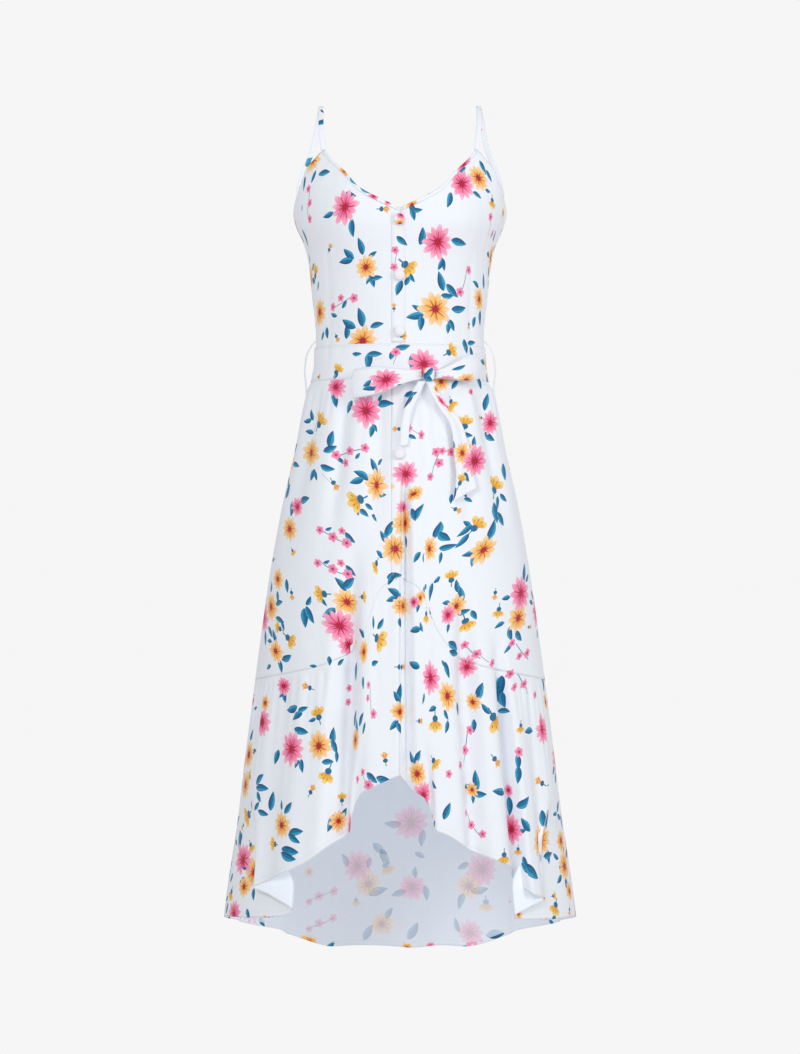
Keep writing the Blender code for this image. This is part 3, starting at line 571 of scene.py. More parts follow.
def layPrint(mesh, cornerPlaces, motifs):
    # cornerPlaces: faces x 4 corners x 2, in metres of flat cloth; each layer shows one motif a face
    middle = cornerPlaces.mean(axis=1)
    spare = 0.75 * float(np.abs(cornerPlaces - middle[:, None]).max(axis=(1, 2)).mean())
    layers = {name: np.full(cornerPlaces.shape[:2] + (3,), noPlace) for name in allLayers}
    used = {name: np.zeros(len(middle), dtype=bool) for name in allLayers}
    for name in allLayers:
        layers[name][..., 2] = 0.0
    for motif in motifs:
        near = np.abs(localPlace(middle, motif)) - spare / motif["size"]
        chosen = np.nonzero((near < motif["box"]).all(axis=1))[0]
        if not len(chosen):
            continue
        name = min(motif["layers"], key=lambda layer: np.count_nonzero(used[layer][chosen]))
        free = chosen[~used[name][chosen]]
        layers[name][free, :, 0:2] = localPlace(cornerPlaces[free], motif)
        layers[name][free, :, 2] = motif["code"]
        used[name][free] = True
    writeLayers(mesh, {name: values.reshape(-1, 3) for name, values in layers.items()})


def layWhole(mesh, flat, motifs):
    # one motif a layer over a whole small mesh
    corners = np.zeros(len(mesh.loops), dtype=np.int32)
    mesh.loops.foreach_get("vertex_index", corners)
    layers = {name: np.zeros((0, 3)) for name in allLayers}
    for name, motif in motifs.items():
        place = localPlace(flat[corners], motif)
        layers[name] = np.column_stack([place, np.full(len(place), motif["code"])])
    writeLayers(mesh, layers)


# Shader nodes


class Field:
    # a value in a node tree: arithmetic on it adds the nodes

    def __init__(self, tree, socket):
        self.tree, self.socket = tree, socket

    def math(self, operation, *others, clamp=False):
        node = self.tree.nodes.new("ShaderNodeMath")
        node.operation = operation
        node.use_clamp = clamp
        for socket, value in zip(node.inputs, (self,) + others):
            feed(socket, value)
        return Field(self.tree, node.outputs[0])

    def __add__(self, other):
        return self.math("ADD", other)

    def __sub__(self, other):
        return self.math("SUBTRACT", other)

    def __rsub__(self, other):
        return self.math("MULTIPLY_ADD", -1.0, other)

    def __mul__(self, other):
        return self.math("MULTIPLY", other)

    def __truediv__(self, other):
        return self.math("DIVIDE", other)

    def __pow__(self, other):
        return self.math("POWER", other)

    def __abs__(self):
        return self.math("ABSOLUTE")

    def __lt__(self, other):
        return self.math("LESS_THAN", other)

    def __gt__(self, other):
        return self.math("GREATER_THAN", other)


def feed(socket, value):
    if isinstance(value, Field):
        value.tree.links.new(value.socket, socket)
    else:
        socket.default_value = value


def addNode(tree, kind, inputs, output=0, **settings):
    node = tree.nodes.new("ShaderNode" + kind)
    for name, value in settings.items():
        setattr(node, name, value)
    for name, value in inputs.items():
        feed(node.inputs[name], value)
    return Field(tree, node.outputs[output])


def paint(code):
    # a screen colour as the linear colour that the shader needs
    parts = [int(code[start:start + 2], 16) / 255.0 for start in (0, 2, 4)]
    linear = [part / 12.92 if part <= 0.04045 else ((part + 0.055) / 1.055) ** 2.4 for part in parts]
    return (*linear, 1.0)


def stepUp(value, start, end):
    # 0 below the start, 1 above the end
    return addNode(value.tree, "MapRange", {"Value": value, "From Min": start, "From Max": end}, "Result",
                   interpolation_type="SMOOTHSTEP")


def blend(factor, first, second, mode="MIX"):
    return addNode(first.tree, "Mix", {0: factor, 6: first, 7: second}, 2, data_type="RGBA", blend_type=mode)


def ramp(value, *stops):
    node = value.tree.nodes.new("ShaderNodeValToRGB")
    feed(node.inputs[0], value)
    while len(node.color_ramp.elements) < len(stops):
        node.color_ramp.elements.new(0.5)
    for element, (place, code) in zip(node.color_ramp.elements, stops):
        element.position = place
        element.color = paint(code)
    return Field(value.tree, node.outputs[0])


def splitPlace(vector):
    node = vector.tree.nodes.new("ShaderNodeSeparateXYZ")
    feed(node.inputs[0], vector)
    return [Field(vector.tree, socket) for socket in node.outputs]


def joinPlace(x, y, z=0.0):
    return addNode(x.tree, "CombineXYZ", {0: x, 1: y, 2: z})


def softNoise(vector, scale, detail=2.0, roughness=0.5):
    return addNode(vector.tree, "TexNoise", {
        "Vector": vector, "Scale": scale, "Detail": detail, "Roughness": roughness}, "Fac")


def attribute(tree, name):
    return addNode(tree, "Attribute", {}, "Vector", attribute_name=name)


def newGroup(name, inputs, draw):
    # draw takes the inputs in order and gives the outputs by name
    kinds = {"Place": "NodeSocketVector", "Ground": "NodeSocketColor", "Colour": "NodeSocketColor"}
    tree = bpy.data.node_groups.new(name, "ShaderNodeTree")
    for label, value in inputs.items():
        socket = tree.interface.new_socket(
            name=label, in_out="INPUT", socket_type=kinds.get(label, "NodeSocketFloat"))
        if value is not None:
            socket.default_value = value
    given = tree.nodes.new("NodeGroupInput")
    outputs = draw(*[Field(tree, given.outputs[label]) for label in inputs])
    for label in outputs:
        tree.interface.new_socket(
            name=label, in_out="OUTPUT", socket_type=kinds.get(label, "NodeSocketFloat"))
    made = tree.nodes.new("NodeGroupOutput")
    for label, value in outputs.items():
        feed(made.inputs[label], value)
    return tree


def place(tree, effect, values):
    node = tree.nodes.new("ShaderNodeGroup")
    node.node_tree = effects[effect]
    for label, value in values.items():
        feed(node.inputs[label], value)
    return {socket.name: Field(tree, socket) for socket in node.outputs}


def drawDaisy(place):
    # a pointed-petal daisy at its own centre, out to radius 1
    x, y, code = splitPlace(place)
    peach, seed = code.math("FLOOR"), code.math("FRACT")
    radius = (x * x + y * y).math("SQRT")
    turn = y.math("ARCTAN2", x) * (0.5 / math.pi) + 0.5
    petals = turn * (11.0 - peach)
    aside = abs(petals.math("FRACT") - 0.5) * 2.0
    luck = addNode(x.tree, "TexWhiteNoise", {"Vector": joinPlace(petals.math("FLOOR"), seed * 57.0)}, "Value",
                   noise_dimensions="2D")
    tip = luck * 0.20 + 0.80
    mask = stepUp(tip * (1.0 - (aside ** 1.5) * 0.33) - radius, 0.0, 0.035)
    streak = softNoise(joinPlace(petals * 2.6, radius * 1.4, seed), 1.6, 3.0, 0.6)
    shade = (radius / tip).math("ADD", (streak - 0.5) * 0.75, clamp=True)
    shade = shade.math("SUBTRACT", (aside ** 3.0) * 0.22, clamp=True)
    pink = ramp(shade, (0.0, "DC1448"), (0.17, "F03C76"), (0.36, "FB78A4"), (0.66, "FF9CBC"), (1.0, "FFC2D6"))
    gold = ramp(shade, (0.0, "D63A2C"), (0.16, "F3932F"), (0.38, "FFBC5C"), (0.66, "FFCE90"), (1.0, "FFE0BC"))
    # dark rays that spring from the centre
    away = abs((turn * 9.0 + seed).math("FRACT") - 0.5) * 0.70 * radius
    line = (1.0 - stepUp(away, 0.013, 0.026)) * (radius < luck * 0.30 + 0.32) * (radius > 0.05)
    heart = 1.0 - stepUp(streak * 0.14 + radius, 0.22, 0.34)
    colour = blend(heart * 0.92, blend(peach, pink, gold), paint("D8143C"))
    return {"Colour": blend(line * 0.85, colour, paint("571A2C")), "Mask": mask}


def drawSmallMotif(place):
    # leaf, stem, side-view bud, tulip and blossom, picked by the whole part of the code
    x, y, code = splitPlace(place)
    kind, seed = code.math("FLOOR"), code.math("FRACT")
    stem, bud, tulip, blossom = (kind.math("COMPARE", number, 0.3) for number in (1.0, 2.0, 3.0, 4.0))
    # leaf and stem: a pointed oval along x, bent a little
    square = x * x
    middle = (square - 0.4) * (seed * 0.36 - 0.16) + y
    oval = ((1.0 - square).math("MAXIMUM", 0.0) ** 0.80) * (x * -0.12 + 0.42)
    half = oval * (1.0 - stem) + stem * 0.040
    inside = stepUp(half - abs(middle), 0.0, 0.03) * (square < 1.0)
    side = middle / half.math("MAXIMUM", 0.02) * 0.5 + 0.5
    grain = softNoise(joinPlace(x * 2.0, y * 9.0, seed), 2.4)
    side = side.math("ADD", (grain - 0.5) * 0.5, clamp=True)
    leafColour = ramp(side, (0.0, "093A62"), (0.22, "06608F"), (0.45, "0A7EAE"), (0.52, "0B3F6A"),
                      (0.62, "118DBA"), (0.85, "37ADCF"), (1.0, "0D4E7C"))
    leafColour = blend(stem, leafColour, paint("3C6E8E"))
    # bud and tulip: a fan of scalloped petals over a green cup on a stem
    lowY = y + 0.30
    spread = x.math("ARCTAN2", lowY)
    reach = (square + lowY * lowY).math("SQRT")
    scallop = abs((spread * 4.2).math("COSINE"))
    fan = stepUp(scallop * 0.26 + 0.86 - reach, 0.0, 0.05) * (abs(spread) < tulip * -0.50 + 1.10)
    budShade = reach.math("ADD", (scallop - 0.5) * 0.22, clamp=True)
    budColour = ramp(budShade, (0.0, "D9742B"), (0.40, "F0A63C"), (0.70, "F6C04A"), (1.0, "FBD684"))
    budColour = blend(tulip * 0.55, budColour, paint("F9A870"))
    dash = (abs((spread * 1.9).math("FRACT") - 0.5) < 0.08) * reach.math("COMPARE", 0.66, 0.11)
    budColour = blend(dash * 0.8, budColour, paint("7A3B2A"))
    cupX, cupY = x / 0.34, (y + 0.34) / 0.27
    stalk = (abs(x) < 0.055) * y.math("COMPARE", -0.70, 0.35)
    green = (cupX * cupX + cupY * cupY < 1.0).math("MAXIMUM", stalk)
    budColour = blend(green, budColour, paint("1A6F95"))
    # blossom: five round petals
    petals = abs((y.math("ARCTAN2", x) * 2.5).math("COSINE"))
    far = (square + y * y).math("SQRT")
    blossomMask = stepUp(petals * 0.30 + 0.68 - far, 0.0, 0.10)
    blossomColour = ramp(far, (0.0, "8A1C42"), (0.18, "C63E70"), (0.32, "F67FAA"), (1.0, "FBA6C4"))
    cupped = bud + tulip
    colour = blend(blossom, blend(cupped, leafColour, budColour), blossomColour)
    mask = inside * (1.0 - cupped - blossom) + fan.math("MAXIMUM", green) * cupped
    return {"Colour": colour, "Mask": mask.math("ADD", blossomMask * blossom, clamp=True)}


def drawFlowerPrint(ground, strength):
    # the whole print over a plain ground
    colour, covered = ground, None
    for effect in ("small", "daisy"):
        for layer in layerNames[effect]:
            motif = place(ground.tree, effect, {"Place": attribute(ground.tree, layer)})
            amount = motif["Mask"] * strength
            colour = blend(amount, colour, motif["Colour"])
            covered = amount if covered is None else covered.math("MAXIMUM", amount)
    return {"Colour": colour, "Print Mask": covered}


def drawWeave(place, threads):
    # plain weave: threads over and under, from places in metres of flat cloth
    x, y, _ = splitPlace(place)
    over = (x * threads * math.pi).math("SINE") * (y * threads * math.pi).math("SINE")
    slub = softNoise(joinPlace(x * 90.0, y * 900.0), 1.0, 3.0)
    return {"Height": slub * 0.6 + over, "Shade": (slub - 0.5) * 0.05 + 1.0}


def drawSoftCreases(place, size):
    # faint crumples that a light cloth keeps after pressing
    x, y, _ = splitPlace(place)
    return {"Height": softNoise(joinPlace(x * size, y * size * 0.35), 1.0, 3.0, 0.55)}


def drawStitches(place, distance, pitch):
    # a row of stitches at a set distance from a sewn edge: the place holds along and away in metres
    along, away, _ = splitPlace(place)
    dash = abs((along / pitch).math("FRACT") - 0.5) < 0.36
    return {"Mask": dash * away.math("COMPARE", distance, 0.00035)}


effects = {
    "daisy": newGroup("printed daisy", {"Place": None}, drawDaisy),
    "small": newGroup("printed leaf and bud", {"Place": None}, drawSmallMotif),
    "weave": newGroup("plain weave", {"Place": None, "Threads per Metre": 2600.0}, drawWeave),
    "creases": newGroup("soft creases", {"Place": None, "Size": 24.0}, drawSoftCreases),
    "stitches": newGroup("stitching", {"Place": None, "Distance": 0.008, "Pitch": 0.0028}, drawStitches),
}
effects["print"] = newGroup(
    "flower print", {"Ground": paint("EEF2FA"), "Print Strength": 1.0}, drawFlowerPrint)


def newMaterial(name):
    material = bpy.data.materials.new(name)
    material.use_nodes = True
    return material, material.node_tree, material.node_tree.nodes["Principled BSDF"].inputs


def clothMaterial(name, ground, strength, roughness, sheen, creaseDepth, stitchAway=0.008, glow=0.0):
    material, tree, shader = newMaterial(name)
    flat, edge = attribute(tree, "clothPlace"), attribute(tree, "edgePlace")
    printed = place(tree, "print", {"Ground": paint(ground), "Print Strength": strength if glow == 0.0 else (
        splitPlace(edge)[1] < 0.006) * 0.65 + strength})  # the hem's turned strip shows the right side inside
    weave, creases = place(tree, "weave", {"Place": flat}), place(tree, "creases", {"Place": flat})
    stitches = place(tree, "stitches", {"Place": edge, "Distance": stitchAway})["Mask"]
    shaded = blend(1.0, printed["Colour"], weave["Shade"], "MULTIPLY")
    shaded = blend(stitches * 0.35, shaded, paint("C9D0DC"))
    feed(shader["Base Color"], shaded)
    feed(shader["Roughness"], printed["Print Mask"] * -0.06 + roughness)
    feed(shader["Sheen Weight"], sheen)
    feed(shader["Sheen Roughness"], 0.45)
    feed(shader["Specular IOR Level"], 0.35)
    if glow > 0.0:  # light that comes through the thin cloth
        feed(shader["Emission Color"], shaded)
        feed(shader["Emission Strength"], glow)
    crumple = addNode(tree, "Bump", {"Strength": creaseDepth, "Distance": 0.004, "Height": creases["Height"]})
    feed(shader["Normal"], addNode(tree, "Bump", {
        "Strength": 0.25, "Distance": 0.00012, "Height": weave["Height"] + stitches * 3.0,
        "Normal": crumple}))
    return material


finishes = {
    "outer": clothMaterial("printedCloth", "F3F6FC", 1.0, 0.62, 0.18, 0.55),
    # wrong side of the cloth: a faint print on a slightly darker, bluer ground, which is partly painted shade
    # for the inside of the dress; its glow is painted light standing for light that comes through the thin
    # cloth
    "inner": clothMaterial("clothWrongSidePaintedShadeAndGlow", "E9EFF7", 0.34, 0.70, 0.10, 0.45, glow=0.135),
    "tie": clothMaterial("tieCloth", "F4F6FC", 1.0, 0.58, 0.20, 0.45, 0.003),
    "plain": clothMaterial("plainCloth", "F3F6FC", 0.0, 0.62, 0.18, 0.20),
    "button": clothMaterial("coveredButtonCloth", "F3F1F7", 0.0, 0.52, 0.20, 0.10),
}
print("materials ready")


# Mesh helpers


def unit(vectors):
    return vectors / np.maximum(np.linalg.norm(vectors, axis=-1, keepdims=True), 1e-9)


def cells(rows, columns):
    # the four corners of each face of a grid
    index = np.arange(rows * columns).reshape(rows, columns)
    return np.stack([index[:-1, :-1], index[1:, :-1], index[1:, 1:], index[:-1, 1:]], axis=-1).reshape(-1, 4)


def tubeFaces(rows, around, fans):
    # quads round a tube, ring by ring, then its two ends: fans to two last points, or flat
    side = np.arange(around)
    after, last = (side + 1) % around, (rows - 1) * around
    faces = [corners for row in range(rows - 1) for corners in (row * around + np.stack(
        [side, after, around + after, around + side], axis=1)).tolist()]
    if not fans:
        return faces + [side[::-1].tolist(), (last + side).tolist()]
    return faces + [end for one, two in zip(side.tolist(), after.tolist())
                    for end in ((last + around, two, one), (last + around + 1, last + one, last + two))]


def addPiece(name, node, points, faces, flat, finish, edges=None):
    # a closed mesh that knows its places on the flat cloth and from its sewn edges
    mesh = bpy.data.meshes.new(name)
    mesh.from_pydata(np.asarray(points).tolist(), [], faces)
    mesh.shade_smooth()
    for label, values in (("clothPlace", flat), ("edgePlace", edges)):
        spots = np.full((len(points), 3), noPlace, dtype=np.float32)
        if values is not None:
            spots[:, :2] = values
        mesh.attributes.new(label, "FLOAT_VECTOR", "POINT").data.foreach_set("vector", spots.ravel())
    for label in finish:
        mesh.materials.append(finishes[label])
    piece = bpy.data.objects.new(name, mesh)
    bpy.context.scene.collection.objects.link(piece)
    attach(piece, "root")
    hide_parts(node)
    return piece


def clothShell(name, node, grid, places, thickness, finish, motifs, edges=None):
    # a thin closed shell: outer face, inner face and a rim all round
    rows, columns = grid.shape[:2]
    normal = unit(np.cross(np.gradient(grid, axis=0), np.gradient(grid, axis=1))) * thickness / 2.0
    points = np.concatenate([(grid + normal).reshape(-1, 3), (grid - normal).reshape(-1, 3)])
    index = np.arange(rows * columns).reshape(rows, columns)
    ring = np.concatenate([index[0, :], index[1:, -1], index[-1, -2::-1], index[-2:0:-1, 0]])
    after = np.roll(ring, -1)
    outer = cells(rows, columns)
    rim = np.stack([ring, after, after + rows * columns, ring + rows * columns], axis=-1)
    faces = np.concatenate([outer, outer[:, ::-1] + rows * columns, rim])
    flat = np.concatenate([places.reshape(-1, 2)] * 2)
    if edges is not None:
        edges = np.concatenate([edges.reshape(-1, 2)] * 2)
    piece = addPiece(name, node, points, faces.tolist(), flat, finish, edges)
    mesh, counts = piece.data, [len(outer), len(outer), len(rim)]
    mesh.polygons.foreach_set("material_index", np.repeat([0, len(finish) - 1, 0], counts).astype(np.int32))
    sharp = mesh.attributes.get("sharp_face") or mesh.attributes.new("sharp_face", "BOOLEAN", "FACE")
    sharp.data.foreach_set("value", np.repeat([False, False, True], counts))
    layPrint(mesh, flat[faces], motifs)
    return piece


def waistLine(gap):
    return lambda angle: np.full(np.shape(angle), form["waistHeight"] + gap)


def seamLine(gap):
    return lambda angle: seamHeight(angle) + gap


# the pieces meet at a seam with a hair of room between them
waistAbove, waistBelow = waistLine(0.0001), waistLine(-0.0001)
seamAbove, seamBelow = seamLine(0.00005), seamLine(0.0009)
panelAngles = {"FrontRight": (0, 90), "FrontLeft": (-90, 0), "Back": (90, 270)}
nodeEnds = {"FrontRight": "_front_right", "FrontLeft": "_front_left", "Back": "_back"}
flatDrop = 1.03  # flat cloth is a little longer than the height it covers
# the chart covers what the camera sees, the repeat the rest
shownTurn = {"front": 76.0, "back": 50.0, "insideHeight": -1.05}
beyondPleat = {"angle": 67.0, "seamPlace": 0.47}  # past the side pleat the cloth runs on from its side seam
# each side: where the print starts, and what the piece hangs from
panels = [
    {"part": "bodice", "top": topEdge, "bottom": waistAbove, "held": "hung", "chart": ["bodice"], "sides": {
        "FrontRight": ((0.012, 0.060), ["strap_right"]), "FrontLeft": ((0.100, -0.170), ["strap_left"]),
        "Back": ((0.21, 0.11), ["strap_left", "strap_right"])}},
    {"part": "skirt", "top": waistBelow, "bottom": seamAbove, "held": "gathered",
     "chart": ["skirt", "flounce"], "sides": {
        "FrontRight": ((0.17, 0.03), ["bodice_front_right"]),
        "FrontLeft": ((0.03, 0.13), ["bodice_front_left"]),
        "Back": ((0.0, 0.0), ["bodice_back"])}},
    {"part": "flounce", "top": seamBelow, "bottom": hemHeight, "held": "gathered",
     "chart": ["skirt", "flounce"], "sides": {
        "FrontRight": ((0.29, 0.22), ["skirt_front_right"]),
        "FrontLeft": ((0.18, 0.30), ["skirt_front_left"]),
        "Back": ((0.10, 0.17), ["skirt_back"])}},
]


def onThisPiece(motif, settings, places):
    # a motif belongs to the cut piece that holds its middle, or to both halves of a front
    column = int(np.argmin(np.abs(places[0, :, 0] - motif["centre"][0])))
    low = places[0, column, 1] - 0.003 if settings["top"] is seamBelow else places[..., 1].min() - 0.05
    high = places[-1, column, 1] + (0.003 if settings["bottom"] is seamAbove else 0.05)
    return low < motif["centre"][1] < high


def garmentPanel(settings, side):
    # one cut piece between two edges, as a fine shell on the garment's form
    start, end = panelAngles[side]
    offset, restsOn = settings["sides"][side]
    inBack, hasHem = side == "Back", settings["bottom"] is hemHeight
    widest = float(halfWidthAt(settings["bottom"](0.5 * (start + end))))
    inset = math.degrees(0.0002 / widest)
    columns = max(int(math.radians(end - start) * 0.82 * widest / form["grain"]), 12)
    across = np.linspace(start + inset, end - inset, columns + 1)
    if settings["part"] == "bodice" and not inBack:  # a column stands where the strap starts
        apex = math.copysign(form["apexAngle"], start + end)
        across[int(np.argmin(np.abs(across - apex)))] = apex
    top, bottom = settings["top"](across), settings["bottom"](across)
    rows = max(int(np.max(top - bottom) / form["grain"]), 8)
    heights = top + (bottom - top) * np.linspace(0.0, 1.0, rows + 1)[:, None]
    angles = np.broadcast_to(across, heights.shape)
    tuck = 0.0
    if settings["top"] is seamBelow:  # the flounce's edge is sewn under the skirt's
        tuck = -0.0004 * (1.0 - easeBetween(seamHeight(angles) - heights, 0.0, 0.006))
    grid = clothPoints(angles, heights, tuck)
    # metres of flat cloth: along each level from the centre front or back, and down
    steps = np.linalg.norm(np.diff(clothPoints(angles, heights, small=False), axis=1), axis=-1)
    along = np.concatenate([np.zeros((len(steps), 1)), np.cumsum(steps, axis=1)], axis=1)
    centre = int(np.argmin(np.abs(across - (180.0 if inBack else 0.0))))
    places = np.stack([along - along[:, centre:centre + 1] + offset[0],
                       offset[1] - heights * flatDrop], axis=-1)
    if hasHem and not inBack:
        beyond, seam = np.abs(across) > beyondPleat["angle"], -1 if end > 0 else 0
        seamPlace = offset[0] + math.copysign(beyondPleat["seamPlace"], start + end)
        places[:, beyond, 0] += seamPlace - places[:, seam, 0][:, None]
    turned = np.abs(turnBetween(angles, 180.0 if inBack else 0.0))
    hidden = turned > shownTurn["front"]
    if inBack:
        hidden = (turned > shownTurn["back"]) | (heights > shownTurn["insideHeight"]) | (not hasHem)
    motifs = repeatMotifs(places, hidden)
    for chart in settings["chart"] if not inBack else ["inside"] * hasHem:
        motifs += chartedMotifs(frontPrint[chart], grid, places, mirrored=inBack)
    motifs.sort(key=lambda motif: drawOrder.index(motif["kind"]))
    motifs = [motif for motif in motifs if onThisPiece(motif, settings, places)]
    edges = np.stack([places[..., 0], heights - bottom], axis=-1) if hasHem else None
    node = settings["part"] + nodeEnds[side]
    piece = clothShell(settings["part"] + side, node, grid, places, form["clothThickness"],
                       ["outer", "inner"], motifs, edges)
    print("panel:", settings["part"] + side)


for settings in panels:
    for side in panelAngles:
        garmentPanel(settings, side)

# Neck binding and placket, on the panels' own surface

binding = {"width": 0.0058, "thickness": 0.0009, "lift": 0.0012}


def neckBinding(side, name, node):
    share = np.linspace(0.0, 1.0, 60)[::int(side)]
    angle = (1.5 + (form["apexAngle"] - 2.5) * share)[None] * side
    down = np.linspace(0.0, 1.0, 7)[:, None]
    heights = topEdge(angle) + 0.0004 - binding["width"] * down
    grid = clothPoints(angle, heights, binding["lift"] + 0.0005 * np.sin(math.pi * down))
    places = np.stack([grid[..., 0], -grid[..., 2]], axis=-1)
    clothShell(name, node, grid, places, binding["thickness"], ["outer"],
               chartedMotifs(frontPrint["binding"], grid, places))


neckBinding(1.0, "neckBindingRight", "neck_binding_right")
neckBinding(-1.0, "neckBindingLeft", "neck_binding_left")

placket = {"left": -0.0125, "right": 0.0080, "thickness": 0.0005, "lift": 0.0007}


def placketStrip(name, node, chart, top, bottom, slant, offset):
    heights = np.linspace(top, bottom, int((top - bottom) / 0.0045))[:, None]
    right = placket["right"] - slant * easeBetween(heights, -0.50, -0.60)
    across = placket["left"] + (right - placket["left"]) * np.linspace(0.0, 1.0, 9)[None]
    heights = np.broadcast_to(heights, across.shape)
    grid = clothPoints(np.degrees(np.arcsin(across / halfWidthAt(heights))), heights, placket["lift"])
    places = np.stack([across + offset[0], offset[1] - heights * flatDrop], axis=-1)
    edges = np.stack([-heights, np.minimum(across - placket["left"], right - across)], axis=-1)
    clothShell(name, node, grid, places, placket["thickness"], ["tie", "inner"],
               chartedMotifs(frontPrint[chart], grid, places), edges)


placketStrip("placketBodice", "placket_bodice", "bodice", form["vDepth"] - 0.008, -0.3605, 0.0, (0.30, 0.18))
placketStrip("placketSkirt", "placket_skirt", "skirt", -0.4155, -0.7015, 0.006, (0.235, 0.05))
print("binding and placket ready")

# Sash and bow

sash = {"top": -0.362, "bottom": -0.4135, "lift": 0.0022, "wrinkle": 0.0009, "thickness": 0.0014,
        "radius": 0.120}


def sashBand():
    top, width = sash["top"], sash["top"] - sash["bottom"]
    angles, heights = np.meshgrid(np.linspace(-179.9, 179.9, 230), np.linspace(top, sash["bottom"], 14))
    share = (top - heights) / width
    lengthways = np.sin(share * 9.0 + np.sin(np.radians(angles * 2.0)) * 1.6) * np.sin(share * math.pi)
    wrinkle = sash["wrinkle"] * lengthways * (0.6 + 0.4 * np.cos(np.radians(angles * 5.0 + 40.0)))
    snug = 0.0020 * easeBetween(heights, -0.394, -0.412)
    lift = sash["lift"] + 0.0010 * easeBetween(heights, -0.372, -0.385) + np.maximum(wrinkle, -0.0004) - snug
    grid = clothPoints(angles, heights, lift, small=False)
    along = np.radians(angles) * sash["radius"]
    places = np.stack([along + 0.055, share * width + 0.27], axis=-1)
    edges = np.stack([along, np.minimum(share, 1.0 - share) * width], axis=-1)
    motifs = repeatMotifs(places, np.abs(angles) > 78.0) + chartedMotifs(
        frontPrint["sash"], grid, places, within=np.abs(angles) < 88.0)
    piece = clothShell("sashBand", "sash", grid, places, sash["thickness"], ["tie", "inner"],
                       motifs, edges)


tieThickness = 0.0012
knot = {"across": 0.039, "height": -0.408, "lift": 0.0140, "half": (0.0092, 0.0080, 0.0102)}
bowLoops = [
    {"name": "bowLoopRight", "node": "bow_loop_right", "side": 1.0, "chart": "loopRight",
     "tip": (0.1070, -0.3935), "widths": (0.012, 0.038), "bulge": 0.011, "printOffset": (0.06, 0.10)},
    {"name": "bowLoopLeft", "node": "bow_loop_left", "side": -1.0, "chart": "loopLeft",
     "tip": (-0.0640, -0.4220), "widths": (0.014, 0.043), "bulge": 0.012, "printOffset": (0.21, 0.26)},
]


def bowLoop(loop):
    side, (tipX, tipHeight), (rootWidth, tipWidth) = loop["side"], loop["tip"], loop["widths"]
    rootX = knot["across"] + side * 0.0100
    v, u = np.meshgrid(np.linspace(-1.0, 1.0, 15), np.linspace(0.0, 1.0, 61), indexing="ij")
    reach = np.sin(math.pi * u) ** 0.75
    reach[:, 0] = reach[:, -1] = 0.0
    spread = easeBetween(reach, 0.0, 0.8)
    width = rootWidth + (tipWidth - rootWidth) * spread
    halfBulge = 0.002 + 0.5 * loop["bulge"] * np.sin(0.8 * math.pi * reach)
    lift = 0.0080 + halfBulge * (1.0 + np.cos(math.pi * u))
    lift += 0.0011 * np.cos(2.6 * math.pi * v) * (1.0 - reach) ** 0.8  # pleats at the knot
    lift += 0.0014 * np.sin(math.pi * reach) * np.sin(2.2 * v + 1.0)
    across = rootX + (tipX - rootX) * reach + 0.0015 * side * np.cos(math.pi * v) * spread
    heights = knot["height"] + (tipHeight - knot["height"]) * reach - v * width / 2.0
    grid = basePoints(across, heights, lift)
    length = 2.0 * abs(tipX - rootX) * 1.06
    along, front = 0.5 * length * np.where(u < 0.5, reach, 2.0 - reach), u < 0.5
    if side < 0:
        grid, along, front = grid[:, ::-1], -along[:, ::-1], (1.0 - u) < 0.5
    places = np.stack([along, (v + 1.0) / 2.0 * tipWidth], axis=-1) + loop["printOffset"]
    edges = np.stack([places[..., 0], (1.0 - np.abs(v)) / 2.0 * tipWidth], axis=-1)
    piece = clothShell(loop["name"], loop["node"], grid, places, tieThickness, ["tie", "tie"],
                       chartedMotifs(frontPrint[loop["chart"]], grid, places, within=front), edges)


# rows: left edge across, right edge across, height
tails = [
    {"name": "tieTailLong", "node": "tail_long", "chart": "tailLong", "slant": 0.020,
     "printOffset": (0.268, 0.030), "rows": [
         (0.0365, 0.0470, -0.4189), (0.0425, 0.0560, -0.4380), (0.0560, 0.0715, -0.4600),
         (0.0680, 0.0850, -0.4800), (0.0735, 0.0935, -0.5050), (0.0755, 0.0980, -0.5300),
         (0.0770, 0.1020, -0.5520), (0.0740, 0.1080, -0.5830)]},
    {"name": "tieTailShort", "node": "tail_short", "chart": "tailShort", "slant": 0.002,
     "printOffset": (0.10, 0.14), "rows": [
         (0.0250, 0.0350, -0.4177), (0.0150, 0.0265, -0.4380), (0.0050, 0.0180, -0.4600),
         (0.0010, 0.0130, -0.4850), (0.0000, 0.0115, -0.5130)]},
]


def tieTail(tail):
    rows = np.array(tail["rows"])
    last = len(rows) - 1
    leftAt, rightAt, heightAt = pathCurves(rows)
    place, u = np.meshgrid(np.linspace(0.0, last, 12 * last), np.linspace(0.0, 1.0, 13), indexing="ij")
    across = leftAt(place) + (rightAt(place) - leftAt(place)) * u
    heights = heightAt(place) + tail["slant"] * (u - 0.5) * (place / last) ** 3
    ripple = 0.0020 * np.sin(2.0 * math.pi * u) * (1.0 - 0.5 * place / last) * easeBetween(place, 0.0, 1.0)
    fold = 0.0012 * np.sin(2.4 * place + 2.0 * u) * easeBetween(place, 0.5, 2.0)
    lift = 0.0090 + 0.0016 * (1.0 - easeBetween(place, 0.0, 2.0)) + ripple + fold
    grid = basePoints(across, heights, lift)
    length, wide = 1.15 * abs(rows[0, 2] - rows[-1, 2]), (rows[:, 1] - rows[:, 0]).max()
    places = np.stack([u * wide, place / last * length], axis=-1) + tail["printOffset"]
    edges = np.stack([places[..., 1], np.minimum(u, 1.0 - u) * wide], axis=-1)
    piece = clothShell(tail["name"], tail["node"], grid, places, tieThickness, ["tie", "inner"],
                       chartedMotifs(frontPrint[tail["chart"]], grid, places), edges)


def pathCurves(route):
    # smooth curves through each column of a given route
    rows = np.column_stack([np.arange(len(route)), route])
    return [smoothCurve(rows, column) for column in range(1, rows.shape[1])]


